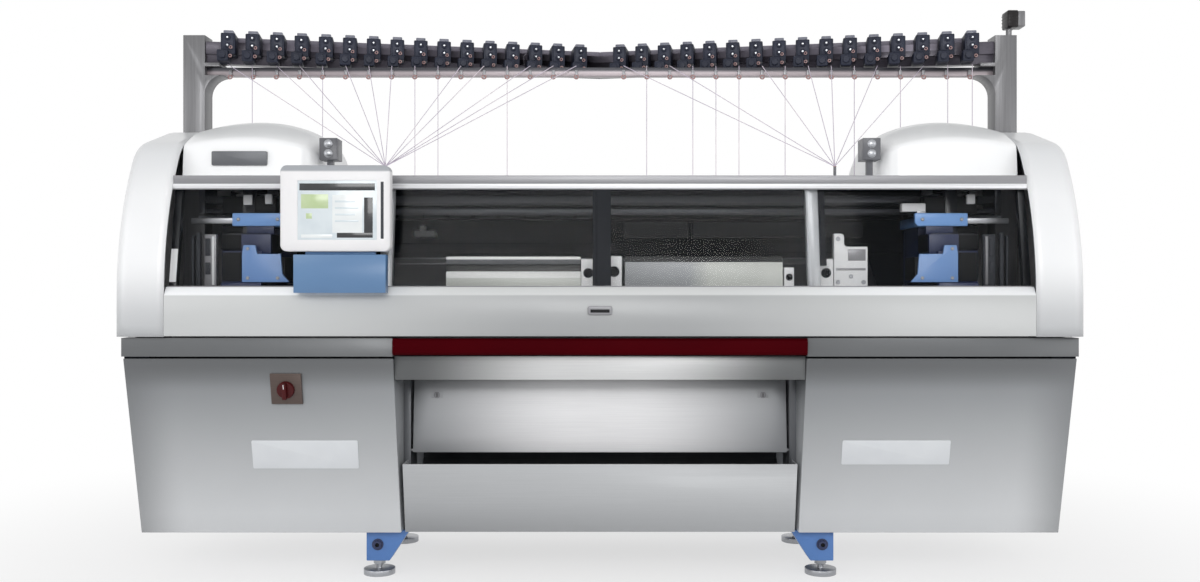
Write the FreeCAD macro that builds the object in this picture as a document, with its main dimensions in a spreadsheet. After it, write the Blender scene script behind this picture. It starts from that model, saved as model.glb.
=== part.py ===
import FreeCAD, Part
import math
import os
import re

import Sketcher

# Flat knitting machine, 84-inch class, in millimetres.
# X runs along the machine, Y from the front to the back, Z up.
# The origin is on the floor, below the middle of the machine.
# Depths named *_set are measured from the front face of the hood.

SIZES = {
    # whole machine
    "half_length": 1822,
    "front": -450,
    "depth": 955,
    "play": 0.5,
    # steel frame
    "bay_half": 750,
    "side_plate": 28,
    "side_plate_set": 252,
    "frame_back_set": 880,
    "frame_foot": 180,
    "beam_under": 880,
    "beam_top": 950,
    "beam_inset": 52,
    "front_beam_set": 75,
    "front_beam_deep": 270,
    "rear_beam_set": 520,
    "tube_side": 70,
    "window_low": 280,
    "window_high": 560,
    "window_set": 400,
    "window_deep": 340,
    # feet
    "lug_inner": 753,
    "lug_outer": 923,
    "lug_toe": 832,
    "lug_low": 60,
    "lug_deep": 90,
    "lug_set": 240,
    "pad_radius": 62,
    "pad_high": 22,
    "nut_radius": 24,
    "nut_high": 20,
    "stem_radius": 12,
    "foot_centre": 880,
    # cabinets
    "cabinet_inset": 27,
    "cabinet_top": 872,
    "cabinet_upper_set": 36,
    "cabinet_lower_set": 200,
    "cabinet_back_set": 925,
    "sheet": 4,
    "back_sheet": 12,
    "unit_inner": 950,
    "unit_long": 640,
    "electric_set": 470,
    "unit_high": 560,
    "gland_radius": 20,
    "gland_long": 24,
    "gland_up": 320,
    # main switch
    "switch_x": 1186,
    "switch_z": 756,
    "switch_half": 59,
    "switch_plate": 10,
    "knob_radius": 33,
    "knob_high": 14,
    "grip_wide": 16,
    "grip_high": 20,
    # header rails and engaging rod
    "rail_set": 22,
    "rod_half": 776,
    "rod_set": 5,
    "rod_deep": 40,
    "rod_low": 886,
    "rod_high": 948,
    "rod_edge": 9,
    "rod_axis_set": 34,
    "rod_axis_z": 917,
    "journal": 8,
    "journal_long": 14,
    "bore_play": 0.05,
    # take-down bay
    "header_upper_set": 56,
    "header_lower_set": 60,
    "header_low": 790,
    "header_lip": 64,
    "cover_half": 742,
    "cover_low": 486,
    "cover_high": 772,
    "cover_low_set": 260,
    "cover_high_set": 290,
    "cover_deep": 14,
    "hinge_up": 8,
    "hinge_inset": 1,
    "hinge_radius": 5,
    "catch_x": 650,
    "catch_z": 711,
    "catch_half": 22,
    "catch_high": 4,
    "panel_half": 762,
    "panel_top": 458,
    "panel_low": 183,
    "panel_upper_set": 138,
    "panel_lower_set": 200,
    "chute_back_set": 640,
    "chute_bend": 480,
    "chute_foot_set": 300,
    "chute_floor": 200,
    "chute_top": 860,
    # take-down rollers
    "roller_set": 420,
    "roller_z": 640,
    "roller_radius": 30,
    "presser_radius": 25,
    "nip": 3,
    "roller_half": 700,
    "axle_radius": 10,
    "block_wide": 36,
    "block_margin": 34,
    "block_high": 70,
    # hood front
    "cover_bottom": 957,
    "sill_rise": 31,
    "sill": 1141,
    "sill_set": 22,
    "ledge_set": 150,
    "pull_half": 46,
    "pull_tall": 33,
    "pull_up": 20,
    "pull_deep": 9,
    # side covers
    "side_wide": 194,
    "side_low": 955,
    "arc_start": 1100,
    "arc_radius": 1100,
    "arc_end": 1700,
    "shoulder_radius": 150,
    "crown_set": 520,
    "crown_z": 1806,
    "crown_radius": 400,
    "tail_radius": 120,
    "tail_z": 1700,
    "rim_bevel": 34,
    "rim_ease": 11,
    "side_wall": 10,
    # hood top
    "flange_set": 92,
    "flange_back_set": 128,
    "flange_low": 1517,
    "flange_high": 1535,
    "strip_high": 1567,
    "strip_deep": 6,
    "deck_front_z": 1561,
    "deck_back_z": 1638,
    "deck_back_set": 900,
    "deck_sheet": 6,
    # top covers
    "cover_gap": 2,
    "top_long": 524,
    "top_corner": 110,
    "top_set": 178,
    "top_brow_set": 190,
    "top_brow_rise": 148,
    "top_crest_set": 330,
    "top_back_set": 760,
    "top_rise": 261,
    "top_fall": 20,
    "top_flat": 120,
    "top_side_rise": 225,
    "top_end_rise": 189,
    "top_climb": 270,
    "top_wall": 12,
    # glazing
    "glass": 5,
    "glass_low_set": 30,
    "glass_high_set": 95,
    "track": 4,
    "pane_step": 14,
    "door_half": 790,
    "stile": 55,
    "stile_proud": 4,
    "pane_inner": 800,
    "pane_gap": 10,
    "post_inner": 787,
    "post_outer": 833,
    "end_post_wide": 28,
    "post_deep": 30,
    # needle beds
    "bed_half": 1100,
    "base_half": 1120,
    "bed_front_set": 215,
    "bed_gap": 14,
    "bed_mid_set": 405,
    "bed_front_z": 1075,
    "bed_tip_z": 1258,
    "bed_thick": 58,
    "base_set": 205,
    "base_step_set": 340,
    "base_step_z": 1100,
    "base_nose": 42,
    "front_cover_set": 110,
    "front_cover_deep": 38,
    "bed_cover_high": 1258,
    "bed_cover_outer": 590,
    "right_cover_inner": 96,
    "right_cover_outer": 700,
    "left_cover_inner": 74,
    "cover_slot_low": 1201,
    "cover_slot_high": 1227,
    "cover_slot_deep": 12,
    "clamp_wide": 54,
    "clamp_high": 108,
    "clamp_bore": 17,
    # carriages
    "carriage_park": 238,
    "cam_half": 78,
    "shoe_set": 152,
    "shoe_deep": 40,
    "track_rail_set": 158,
    "track_rail_deep": 28,
    "track_rail_high": 1115,
    "track_rail_thick": 30,
    "track_reach": 62,
    "bracket_wide": 24,
    "bracket_pitch": 640,
    "cam_front_set": 165,
    "cam_inner_set": 385,
    "cam_low": 1158,
    "cam_high": 1282,
    "cam_lift": 8,
    "head_set": 205,
    "head_high": 1352,
    "bow_half": 92,
    "bow_arm_half": 24,
    "bow_front_set": 245,
    "bow_arm": 34,
    "bow_under": 1524,
    "bow_high": 1556,
    "plate_low": 1390,
    "plate_high": 1430,
    "plate_back_set": 645,
    "bar_reach": 283,
    "bar_set": 468,
    "bar_deep": 30,
    "bar_high": 10,
    # yarn feeder rails and feeders
    "hanger_inset": 32,
    "hanger_thick": 24,
    "hanger_low": 1441,
    "hanger_margin": 10,
    "feeder_rail_thick": 12,
    "feeder_rail_set": 345,
    "feeder_rail_step": 108,
    "upper_rail_low": 1483,
    "upper_rail_high": 1511,
    "lower_rail_low": 1442,
    "lower_rail_high": 1458,
    "feeder_ahead": 60,
    "feeder_half": 20,
    "feeder_skin": 9,
    "feeder_top": 1519,
    "feeder_arm": 6,
    "nozzle_z": 1268,
    # yarn stand
    "post_inset": 159,
    "post_wide": 91,
    "post_set": 515,
    "post_deep_y": 90,
    "stand_top": 2203,
    "unit_rail_low": 2128,
    "unit_rail_high": 2180,
    "channel_low": 2088,
    "unit_rail_deep": 60,
    "apex_set": 820,
    "end_set": 530,
    "gusset": 80,
    "guide_low": 2035,
    "guide_high": 2072,
    "guide_deep": 36,
    "guide_set": 540,
    "knee_wide": 62,
    # yarn control units
    "first_unit": 100,
    "last_unit": 100.5,
    "unit_wide": 58,
    "unit_deep": 88,
    "unit_low": 2112,
    "unit_top": 2200,
    "cap_wide": 40,
    "cap_high": 14,
    "cap_inset": 14,
    "brake_wide": 46,
    "brake_low": 2078,
    "brake_high": 2126,
    "brake_proud": 26,
    "brake_left": 12,
    # side tensioners, guides and yarns
    "tension_gap": 4,
    "tension_wide": 70,
    "tension_set": 196,
    "tension_deep": 84,
    "tension_low": 1640,
    "tension_high": 1725,
    "tension_leg": 24,
    "guide_left_gap": 178,
    "guide_right_gap": 98,
    "guide_y_set": 250,
    "guide_radius": 6,
    "guide_top": 1618,
    "yarn_radius": 1.1,
    "yarn_gap": 0.2,
    "yarn_ahead": 4,
    # control panel
    "panel_left": 1177,
    "panel_right": 772,
    "panel_front": 55,
    "panel_rear": 8,
    "panel_under": 1272,
    "panel_over": 1589,
    "panel_corner": 22,
    "screen_left": 1114,
    "screen_right": 820,
    "screen_low": 1313,
    "screen_high": 1534,
    "screen_deep": 4,
    "screen_thick": 3,
    "stand_left": 1129,
    "stand_right": 790,
    "stand_front": 50,
    "stand_back": 2,
    "stand_drop": 22,
    "stand_high": 1260,
    "pin_radius": 6,
    "pin_set": 28,
    "pin_inset": 40,
    "wedge_inset": 30,
    # signal lamp
    "lamp_wide": 75,
    "lamp_inset": 27,
    "lamp_low": 2240,
    "lamp_high": 2312,
    "lamp_stem": 12,
    "lamp_deep": 72,
}

UNITS_A_SIDE = 16
LEFT_STRAIGHT = (3, 6, 7, 11, 14)
RIGHT_STRAIGHT = (1, 3, 4, 5, 7, 10, 12, 14, 15)

# Places that follow from the sizes. A formula names one as it names a size.
PLACES = {
    "cabinet_inner": "bay_half + side_plate",
    "cabinet_end": "half_length - cabinet_inset",
    "beam_half": "half_length - beam_inset",
    "hood_half": "half_length - side_wide",
    "cover_break": "sill - sill_rise",
    "pull_low": "(cover_bottom + cover_break - pull_tall) / 2 + pull_up",
    "top_outer": "hood_half - cover_gap",
    "top_inner": "top_outer - top_long",
    "top_peak_x": "top_inner + top_climb",
    "pane_outer": "hood_half - pane_gap",
    "end_post": "hood_half - end_post_wide",
    "carriage_x": "hood_half - carriage_park",
    "track_half": "hood_half + track_reach",
    "bar_end": "carriage_x + bar_reach",
    "hanger_half": "hood_half - hanger_inset",
    "feeder_x": "carriage_x + feeder_ahead",
    "post_x": "half_length - post_inset",
    "unit_pitch": f"(post_x - last_unit - first_unit) / {UNITS_A_SIDE - 1}",
    "tension_outer": "top_inner - tension_gap",
    "tension_inner": "tension_outer - tension_wide",
    "guide_left_x": "tension_inner - guide_left_gap",
    "guide_right_x": "tension_inner - guide_right_gap",
    "stand_low": "sill - stand_drop",
    "lamp_right": "half_length - lamp_inset",
    "lamp_left": "lamp_right - lamp_wide",
}

doc = FreeCAD.newDocument("flat_knitting_machine")
sheet = doc.addObject("Spreadsheet::Sheet", "Sizes")
for line, (alias, number) in enumerate(SIZES.items(), 1):
    sheet.set(f"A{line}", alias)
    sheet.set(f"B{line}", str(number))
    sheet.setAlias(f"B{line}", alias)
doc.recompute()

nodes = []


# ---------------------------------------------------------------- helpers

def bound(formula):
    """Point each size in a formula at its cell of the sheet, and write out each place."""
    def meaning(word):
        name = word.group(0)
        return f"({bound(PLACES[name])})" if name in PLACES else "Sizes." + name
    return re.sub(r"\b(?!atan\b|cos\b|sin\b|deg\b)[a-z]\w*", meaning, formula)


def bind(item, prop, formula):
    item.setExpression(prop, bound(formula))


def read(name):
    """The number of a size, or of a place, which a passing point measures."""
    if name not in PLACES:
        return float(sheet.get(name))
    gauge = doc.addObject("Part::Vertex", "gauge")
    bind(gauge, "X", name)
    gauge.recompute()
    number = gauge.X.Value
    doc.removeObject(gauge.Name)
    return number


def keep(item, label):
    """Take a finished object as the sub-part of this name."""
    item.Label = label
    nodes.append(item)
    return item


def back(depth):
    """The Y of a depth behind the front face of the hood."""
    return f"front + {depth}"


def block(name, x, y, z):
    """A box between two X, two Y and two Z formulas."""
    box = doc.addObject("Part::Box", name)
    for letter, side, (start, end) in zip("xyz", ("Length", "Width", "Height"), (x, y, z)):
        bind(box, f"Placement.Base.{letter}", start)
        bind(box, side, f"({end}) - ({start})")
    return box


def rod(name, axis, radius, span, centre):
    """A cylinder along X, Y or Z between two formulas, round a centre in the other two."""
    bar = doc.addObject("Part::Cylinder", name)
    bind(bar, "Radius", radius)
    bind(bar, "Height", f"({span[1]}) - ({span[0]})")
    turn = {"x": ((0, 1, 0), 90), "y": ((1, 0, 0), -90), "z": ((0, 0, 1), 0)}[axis]
    bar.Placement.Rotation = FreeCAD.Rotation(FreeCAD.Vector(*turn[0]), turn[1])
    others = iter(centre)
    for letter in "xyz":
        bind(bar, f"Placement.Base.{letter}", span[0] if letter == axis else next(others))
    return bar


LYING = FreeCAD.Rotation(FreeCAD.Vector(1, 0, 0), -90)


def hexagon(name, radius, span, centre):
    """An upright six-sided bar."""
    bar = doc.addObject("Part::Prism", name)
    bar.Polygon = 6
    bind(bar, "Circumradius", radius)
    bind(bar, "Height", f"({span[1]}) - ({span[0]})")
    for letter, formula in zip("xyz", (*centre, span[0])):
        bind(bar, f"Placement.Base.{letter}", formula)
    return bar


def origin_plane(body, role):
    return next(plane for plane in body.Origin.OriginFeatures if plane.Role == role)


def outline(body, name, plane, corners):
    """A closed polygon on a plane of the body, each corner held by two formulas."""
    sketch = body.newObject("Sketcher::SketchObject", name)
    sketch.AttachmentSupport = [(origin_plane(body, plane + "_Plane"), "")]
    sketch.MapMode = "FlatFace"
    count = len(corners)
    seeds = [FreeCAD.Vector(math.cos(2 * math.pi * k / count), math.sin(2 * math.pi * k / count), 0)
             for k in range(count)]
    for k in range(count):
        sketch.addGeometry(Part.LineSegment(seeds[k], seeds[(k + 1) % count]), False)
    for k in range(count):
        sketch.addConstraint(Sketcher.Constraint("Coincident", k, 2, (k + 1) % count, 1))
    for k, corner in enumerate(corners):
        for kind, seed, formula in zip(("DistanceX", "DistanceY"), seeds[k], corner):
            row = sketch.addConstraint(Sketcher.Constraint(kind, -1, 1, k, 1, seed))
            bind(sketch, f"Constraints[{row}]", formula)
    return sketch


def prism(name, plane, corners, span):
    """A body padded from a polygon, between two places along the normal of its plane."""
    body = doc.addObject("PartDesign::Body", name)
    sketch = outline(body, name + "_outline", plane, corners)
    start, end = span
    if plane == "XZ":
        bind(sketch, "AttachmentOffset.Base.z", f"-({end})")
    else:
        bind(sketch, "AttachmentOffset.Base.z", start)
    pad = body.newObject("PartDesign::Pad", name + "_pad")
    pad.Profile = sketch
    bind(pad, "Length", f"({end}) - ({start})")
    return body


def cut(name, base, *tools):
    for number, tool in enumerate(tools):
        step = doc.addObject("Part::Cut", f"{name}_cut{number}")
        step.Base = base
        step.Tool = tool
        base = step
    return base


def fuse(name, *pieces):
    joined = doc.addObject("Part::MultiFuse", name)
    joined.Shapes = list(pieces)
    return joined


def group(name, *pieces):
    """Separate like solids that share one sub-part."""
    several = doc.addObject("Part::Compound", name)
    several.Links = list(pieces)
    return several


def twin(piece):
    """The same piece for the other end of the machine."""
    other = doc.addObject("Part::Mirroring", piece.Name + "_twin")
    other.Source = piece
    other.Normal = FreeCAD.Vector(1, 0, 0)
    return other


def pair(name, piece):
    return group(name, piece, twin(piece))


# ---------------------------------------------------------------- frame and feet

BEAM_SPAN = ("-beam_half", "beam_half")
FRONT_BEAM_BACK = back("front_beam_set + front_beam_deep")
HINGE_Z = "cover_low + hinge_up"
HINGE_SET = "cover_low_set + cover_deep / 2 + hinge_inset"


def side_frame():
    plate = block("side_plate_blank", ("bay_half", "cabinet_inner"),
                  (back("side_plate_set"), back("frame_back_set")), ("frame_foot", "beam_under"))
    window = block("side_plate_window", ("bay_half - 1", "cabinet_inner + 1"),
                   (back("window_set"), back("window_set + window_deep")), ("window_low", "window_high"))
    hinge = rod("side_plate_hinge_bore", "x", "hinge_radius + bore_play",
                ("bay_half - 1", "bay_half + side_plate / 2"),
                (back(HINGE_SET), HINGE_Z))
    return cut("side_plate", plate, window, hinge)


keep(pair("frame_sides", side_frame()), "frame_sides")

beams = [
    block("front_beam", BEAM_SPAN, (back("front_beam_set"), FRONT_BEAM_BACK),
          ("beam_under", "beam_top")),
    block("rear_beam", BEAM_SPAN, (back("rear_beam_set"), back("frame_back_set")),
          ("beam_under", "beam_top")),
    block("cross_tube", ("-bay_half", "bay_half"),
          (back("frame_back_set - back_sheet - tube_side"), back("frame_back_set - back_sheet")),
          ("frame_foot", "frame_foot + tube_side")),
]
keep(group("frame_beams", *beams), "frame_beams")


def foot_lug(name, start):
    """A blue lug below the frame, narrowing to the foot that it stands on."""
    return prism(name, "XZ", [("lug_inner", "frame_foot"), ("lug_toe", "lug_low"),
                              ("lug_outer", "lug_low"), ("lug_outer", "frame_foot")],
                 (start, f"{start} + lug_deep"))


def foot(name, start):
    centre = ("foot_centre", f"{start} + lug_deep / 2")
    pad = rod(name + "_pad", "z", "pad_radius", ("0", "pad_high"), centre)
    stem = hexagon(name + "_stem", "stem_radius", ("pad_high", "lug_low - nut_high"), centre)
    nut = hexagon(name + "_nut", "nut_radius", ("lug_low - nut_high", "lug_low"), centre)
    return fuse(name, pad, stem, nut)


foot_rows = {"front": back("lug_set"), "rear": back("frame_back_set - lug_deep")}
lugs = [foot_lug(f"lug_{row}", start) for row, start in foot_rows.items()]
feet = [foot(f"foot_{row}", start) for row, start in foot_rows.items()]
keep(group("foot_brackets", *lugs, *[twin(lug) for lug in lugs]), "foot_brackets")
keep(group("levelling_feet", *feet, *[twin(item) for item in feet]), "levelling_feet")


# ---------------------------------------------------------------- cabinets

SLOPE = "(cabinet_lower_set - cabinet_upper_set) / (cabinet_top - frame_foot)"


def cabinet_face(height, inward="0"):
    """The Y of the sloping cabinet front at this height."""
    return f"front + cabinet_upper_set + (cabinet_top - ({height})) * {SLOPE} + {inward}"


def cabinet():
    shell = prism("cabinet_outer", "YZ",
                  [(cabinet_face("cabinet_top"), "cabinet_top"),
                   (cabinet_face("frame_foot"), "frame_foot"),
                   (back("cabinet_back_set - back_sheet"), "frame_foot"),
                   (back("cabinet_back_set - back_sheet"), "cabinet_top")],
                  ("cabinet_inner", "cabinet_end"))
    low, high = "frame_foot + sheet", "cabinet_top - sheet"
    hollow = prism("cabinet_hollow", "YZ",
                   [(cabinet_face(high, "sheet"), high),
                    (cabinet_face(low, "sheet"), low),
                    (back("cabinet_back_set"), low),
                    (back("cabinet_back_set"), high)],
                   ("cabinet_inner + sheet", "cabinet_end - sheet"))
    return cut("cabinet", shell, hollow)


right_cabinet = cabinet()
keep(twin(right_cabinet), "left_cabinet")
keep(right_cabinet, "right_cabinet")

cabinet_back = block("cabinet_back", ("cabinet_inner", "cabinet_end"),
                     (back("cabinet_back_set - back_sheet"), back("cabinet_back_set")),
                     ("frame_foot", "cabinet_top"))
bay_back = block("bay_back", ("-bay_half", "bay_half"),
                 (back("frame_back_set - back_sheet"), back("frame_back_set")),
                 ("frame_foot", "beam_under"))
keep(group("back_panels", cabinet_back, twin(cabinet_back), bay_back), "back_panels")

electric_unit = block("electric_unit", ("unit_inner", "unit_inner + unit_long"),
                      (back("electric_set"), back("cabinet_back_set - back_sheet")),
                      ("frame_foot + sheet", "frame_foot + sheet + unit_high"))
keep(pair("electric_units", electric_unit), "electric_units")


def cable_gland():
    """The six-sided gland of the mains inlet, in the back of the left cabinet."""
    gland = hexagon("cable_gland", "gland_radius", ("gland_up", "gland_up + gland_long"),
                    ("-(unit_inner + unit_long / 2)", back("cabinet_back_set")))
    gland.Placement.Rotation = LYING
    return gland


keep(cable_gland(), "cable_gland")


def switch_plate():
    low, high = "switch_z - switch_half", "switch_z + switch_half"
    return prism("main_switch_plate", "YZ",
                 [(cabinet_face(low), low), (cabinet_face(high), high),
                  (cabinet_face(high, "-switch_plate"), high), (cabinet_face(low, "-switch_plate"), low)],
                 ("-switch_x - switch_half", "-switch_x + switch_half"))


def square_to_cabinet(piece, lift):
    """Stand a piece on the switch plate, square to the sloping cabinet front."""
    bind(piece, "Placement.Base.x", "-switch_x")
    bind(piece, "Placement.Base.y", cabinet_face("switch_z", f"-switch_plate - ({lift})"))
    bind(piece, "Placement.Base.z", f"switch_z - ({lift}) * {SLOPE}")
    piece.Placement.Rotation = FreeCAD.Rotation(FreeCAD.Vector(1, 0, 0), 90)
    bind(piece, "Placement.Rotation.Angle", f"90 deg + atan({SLOPE})")
    return piece


def switch_knob():
    disc = doc.addObject("Part::Cylinder", "knob_disc")
    bind(disc, "Radius", "knob_radius")
    bind(disc, "Height", "knob_high")
    square_to_cabinet(disc, "play")
    bar = prism("knob_bar", "XY",
                [("-grip_wide / 2", "-knob_radius + 2"), ("grip_wide / 2", "-knob_radius + 2"),
                 ("grip_wide / 2", "knob_radius - 2"), ("-grip_wide / 2", "knob_radius - 2")],
                ("0", "knob_high + grip_high"))
    square_to_cabinet(bar, "play")
    return fuse("main_switch_knob", disc, bar)


keep(switch_plate(), "main_switch_plate")
keep(switch_knob(), "main_switch_knob")


# ---------------------------------------------------------------- header rails, engaging rod

def header_rail():
    bar = block("header_rail_bar", ("cabinet_inner", "cabinet_end"),
                (back("rail_set"), back("front_beam_set")), ("beam_under", "beam_top"))
    bore = rod("header_rail_bore", "x", "journal + bore_play",
               ("cabinet_inner - 1", "rod_half + journal_long + 2"),
               (back("rod_axis_set"), "rod_axis_z"))
    return cut("header_rail", bar, bore)


def engaging_rod():
    near, far = back("rod_set"), back("rod_set + rod_deep")
    bar = prism("rod_bar", "YZ",
                [(near, "rod_low + rod_edge"), (near, "rod_high - rod_edge"),
                 (near + " + rod_edge", "rod_high"), (far, "rod_high"),
                 (far, "rod_low"), (near + " + rod_edge", "rod_low")],
                ("-rod_half", "rod_half"))
    shaft = rod("rod_journals", "x", "journal",
                ("-rod_half - journal_long", "rod_half + journal_long"),
                (back("rod_axis_set"), "rod_axis_z"))
    return fuse("engaging_rod", bar, shaft)


keep(pair("header_rails", header_rail()), "header_rails")
keep(engaging_rod(), "engaging_rod")


# ---------------------------------------------------------------- take-down bay

def header_panel():
    """A folded sheet below the beam, with a lip along its top and a soffit at its foot."""
    near, foot_near = back("header_upper_set"), back("header_lower_set")
    lip, soffit = back("header_upper_set + header_lip"), back("side_plate_set - play")
    return prism("header_panel", "YZ",
                 [(near, "beam_under"), (lip, "beam_under"), (lip, "beam_under - sheet"),
                  (near + " + sheet", "beam_under - sheet"), (foot_near + " + sheet", "header_low + sheet"),
                  (soffit, "header_low + sheet"), (soffit, "header_low"), (foot_near, "header_low")],
                 ("-cabinet_inner + play", "cabinet_inner - play"))


def take_down_cover():
    """A folded pan that leans back, with a journal at each lower corner."""
    def lean(low, high, inward, half, name):
        return prism(name, "YZ",
                     [(back("cover_low_set + " + inward[0]), low),
                      (back("cover_high_set + " + inward[0]), high),
                      (back("cover_high_set + " + inward[1]), high),
                      (back("cover_low_set + " + inward[1]), low)],
                     (f"-({half})", half))
    pan = lean("cover_low", "cover_high", ("0", "cover_deep"), "cover_half", "cover_pan")
    inside = lean("cover_low + 4 * sheet", "cover_high - sheet", ("sheet", "cover_deep + 1"),
                  "cover_half - sheet", "cover_inside")
    journals = rod("cover_journals", "x", "hinge_radius",
                   ("-bay_half - side_plate / 2 + play", "bay_half + side_plate / 2 - play"),
                   (back(HINGE_SET), HINGE_Z))
    catch_set = "cover_low_set + (catch_z - cover_low) * (cover_high_set - cover_low_set)" \
                " / (cover_high - cover_low)"
    catches = [block(f"catch_{side}", (f"{x} - catch_half", f"{x} + catch_half"),
                     (back(catch_set + " - catch_high"), back(catch_set + " + sheet")),
                     ("catch_z - catch_half / 2", "catch_z + catch_half / 2"))
               for side, x in (("left", "-catch_x"), ("right", "catch_x"))]
    return fuse("take_down_cover", cut("cover_shell", pan, inside), journals, *catches)


def lower_panel():
    """A sloping front sheet with side returns and a floor flange, open at its top."""
    rear = back("side_plate_set")
    whole = prism("lower_panel_outer", "YZ",
                  [(back("panel_upper_set"), "panel_top"), (back("panel_lower_set"), "panel_low"),
                   (rear, "panel_low"), (rear, "panel_top")], ("-panel_half", "panel_half"))
    fall = "(panel_lower_set - panel_upper_set) / (panel_top - panel_low)"
    hollow = prism("lower_panel_hollow", "YZ",
                   [(back(f"panel_upper_set + sheet - {fall}"), "panel_top + 1"),
                    (back(f"panel_lower_set + sheet - sheet * {fall}"), "panel_low + sheet"),
                    (rear + " + 1", "panel_low + sheet"), (rear + " + 1", "panel_top + 1")],
                   ("-panel_half + sheet", "panel_half - sheet"))
    return cut("lower_panel", whole, hollow)


def fabric_chute():
    """One folded sheet that guides the fabric forward, behind the lower panel."""
    rear, toe, lip = back("chute_back_set"), back("chute_foot_set"), back("side_plate_set + sheet")
    return prism("fabric_chute", "YZ",
                 [(rear, "chute_top"), (rear + " + sheet", "chute_top"),
                  (rear + " + sheet", "chute_bend - sheet"), (toe + " + sheet", "chute_floor - sheet"),
                  (lip, "chute_floor - sheet"), (lip, "chute_floor"), (toe, "chute_floor"),
                  (rear, "chute_bend")],
                 ("-bay_half", "bay_half"))


PRESSER_SET = "roller_set + roller_radius + presser_radius + nip"


def roller(name, radius, centre):
    barrel = rod(name + "_barrel", "x", radius, ("-roller_half", "roller_half"), centre)
    axle = rod(name + "_axle", "x", "axle_radius", ("-bay_half + 2 * play", "bay_half - 2 * play"), centre)
    return fuse(name, barrel, axle)


def bearing_block():
    blank = block("bearing_blank", ("bay_half - block_wide", "bay_half"),
                  (back("roller_set - block_margin"), back(PRESSER_SET + " + block_margin")),
                  ("roller_z - block_high / 2", "roller_z + block_high / 2"))
    bores = [rod(f"bearing_bore{number}", "x", "axle_radius + bore_play",
                 ("bay_half - block_wide - 1", "bay_half + 1"), (back(depth), "roller_z"))
             for number, depth in enumerate(("roller_set", PRESSER_SET))]
    return cut("bearing_block", blank, *bores)


keep(header_panel(), "header_panel")
keep(take_down_cover(), "take_down_cover")
keep(lower_panel(), "lower_panel")
keep(fabric_chute(), "fabric_chute")
keep(roller("take_down_roller", "roller_radius", (back("roller_set"), "roller_z")), "take_down_roller")
keep(roller("presser_roller", "presser_radius", (back(PRESSER_SET), "roller_z")), "presser_roller")
keep(pair("roller_bearings", bearing_block()), "roller_bearings")


# ---------------------------------------------------------------- hood front and sill

WIDE = ("-hood_half + play", "hood_half - play")


def lower_front_cover():
    """One folded sheet: front face, bevel, sill ledge, and a foot that stands on the beam."""
    heel = back("front_beam_set")
    face, ledge, brow = back("0"), back("ledge_set"), back("sill_set")
    return prism("lower_front_cover", "YZ",
                 [(face, "cover_bottom"), (face, "cover_break"), (brow, "sill"), (ledge, "sill"),
                  (ledge, "sill - sheet"), (brow + " + sheet / 2", "sill - sheet"),
                  (face + " + sheet", "cover_break - sheet / 3"), (face + " + sheet", "cover_bottom + sheet"),
                  (heel + " + sheet", "cover_bottom + sheet"), (heel + " + sheet", "beam_top"),
                  (heel, "beam_top"), (heel, "cover_bottom")],
                 ("-hood_half", "hood_half"))


keep(lower_front_cover(), "lower_front_cover")
keep(block("cover_pull", ("-pull_half", "pull_half"), (back("-pull_deep"), back("0")),
           ("pull_low", "pull_low + pull_tall")), "cover_pull")


# ---------------------------------------------------------------- side covers

def arch_sketch(body, inset):
    """The side outline of a side cover, drawn in by an inset: 0 or the name of a size."""
    sketch = body.newObject("Sketcher::SketchObject", body.Name + "_outline")
    sketch.AttachmentSupport = [(origin_plane(body, "YZ_Plane"), "")]
    sketch.MapMode = "FlatFace"
    bind(sketch, "AttachmentOffset.Base.z", f"hood_half - {inset}")
    face, radius = read("front"), read("arc_radius")
    low, turn, tip = read("side_low"), read("arc_start"), read("arc_end")
    rise = math.asin((tip - turn) / radius)
    hub = FreeCAD.Vector(face + radius, turn, 0)
    points = [
        FreeCAD.Vector(face, low, 0),
        FreeCAD.Vector(face, turn, 0),
        FreeCAD.Vector(hub.x - radius * math.cos(rise), tip, 0),
        FreeCAD.Vector(face + read("crown_set"), read("crown_z"), 0),
        FreeCAD.Vector(face + read("depth"), read("tail_z"), 0),
        FreeCAD.Vector(face + read("depth"), low, 0),
    ]
    sketch.addGeometry(Part.LineSegment(points[0], points[1]), False)
    circle = Part.Circle(hub, FreeCAD.Vector(0, 0, 1), radius)
    sketch.addGeometry(Part.ArcOfCircle(circle, math.pi - rise, math.pi), False)
    for first, last in zip(points[2:], points[3:] + points[:1]):
        sketch.addGeometry(Part.LineSegment(first, last), False)
    for joint in ((0, 2, 1, 2), (1, 1, 2, 1), (2, 2, 3, 1), (3, 2, 4, 1), (4, 2, 5, 1), (5, 2, 0, 1)):
        sketch.addConstraint(Sketcher.Constraint("Coincident", *joint))
    sketch.addConstraint(Sketcher.Constraint("Vertical", 0))
    sketch.addConstraint(Sketcher.Constraint("Horizontal", 1, 3, 0, 2))
    places = (
        ("DistanceX", 0, 1, f"front + {inset}"), ("DistanceY", 0, 1, f"side_low - {inset}"),
        ("DistanceY", 0, 2, "arc_start"), ("DistanceY", 1, 1, f"arc_end - {inset} / 2"),
        ("DistanceX", 3, 1, back("crown_set")), ("DistanceY", 3, 1, f"crown_z - {inset}"),
        ("DistanceX", 4, 1, back(f"depth - {inset}")), ("DistanceY", 4, 1, f"tail_z - {inset}"),
        ("DistanceX", 5, 1, back(f"depth - {inset}")), ("DistanceY", 5, 1, f"side_low - {inset}"),
    )
    for kind, line, point, formula in places:
        seed = sketch.getPoint(line, point)
        row = sketch.addConstraint(Sketcher.Constraint(kind, -1, 1, line, point,
                                                       seed.x if kind == "DistanceX" else seed.y))
        bind(sketch, f"Constraints[{row}]", formula)
    row = sketch.addConstraint(Sketcher.Constraint("Radius", 1, radius))
    bind(sketch, f"Constraints[{row}]", f"arc_radius - {inset}")
    return sketch


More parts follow.
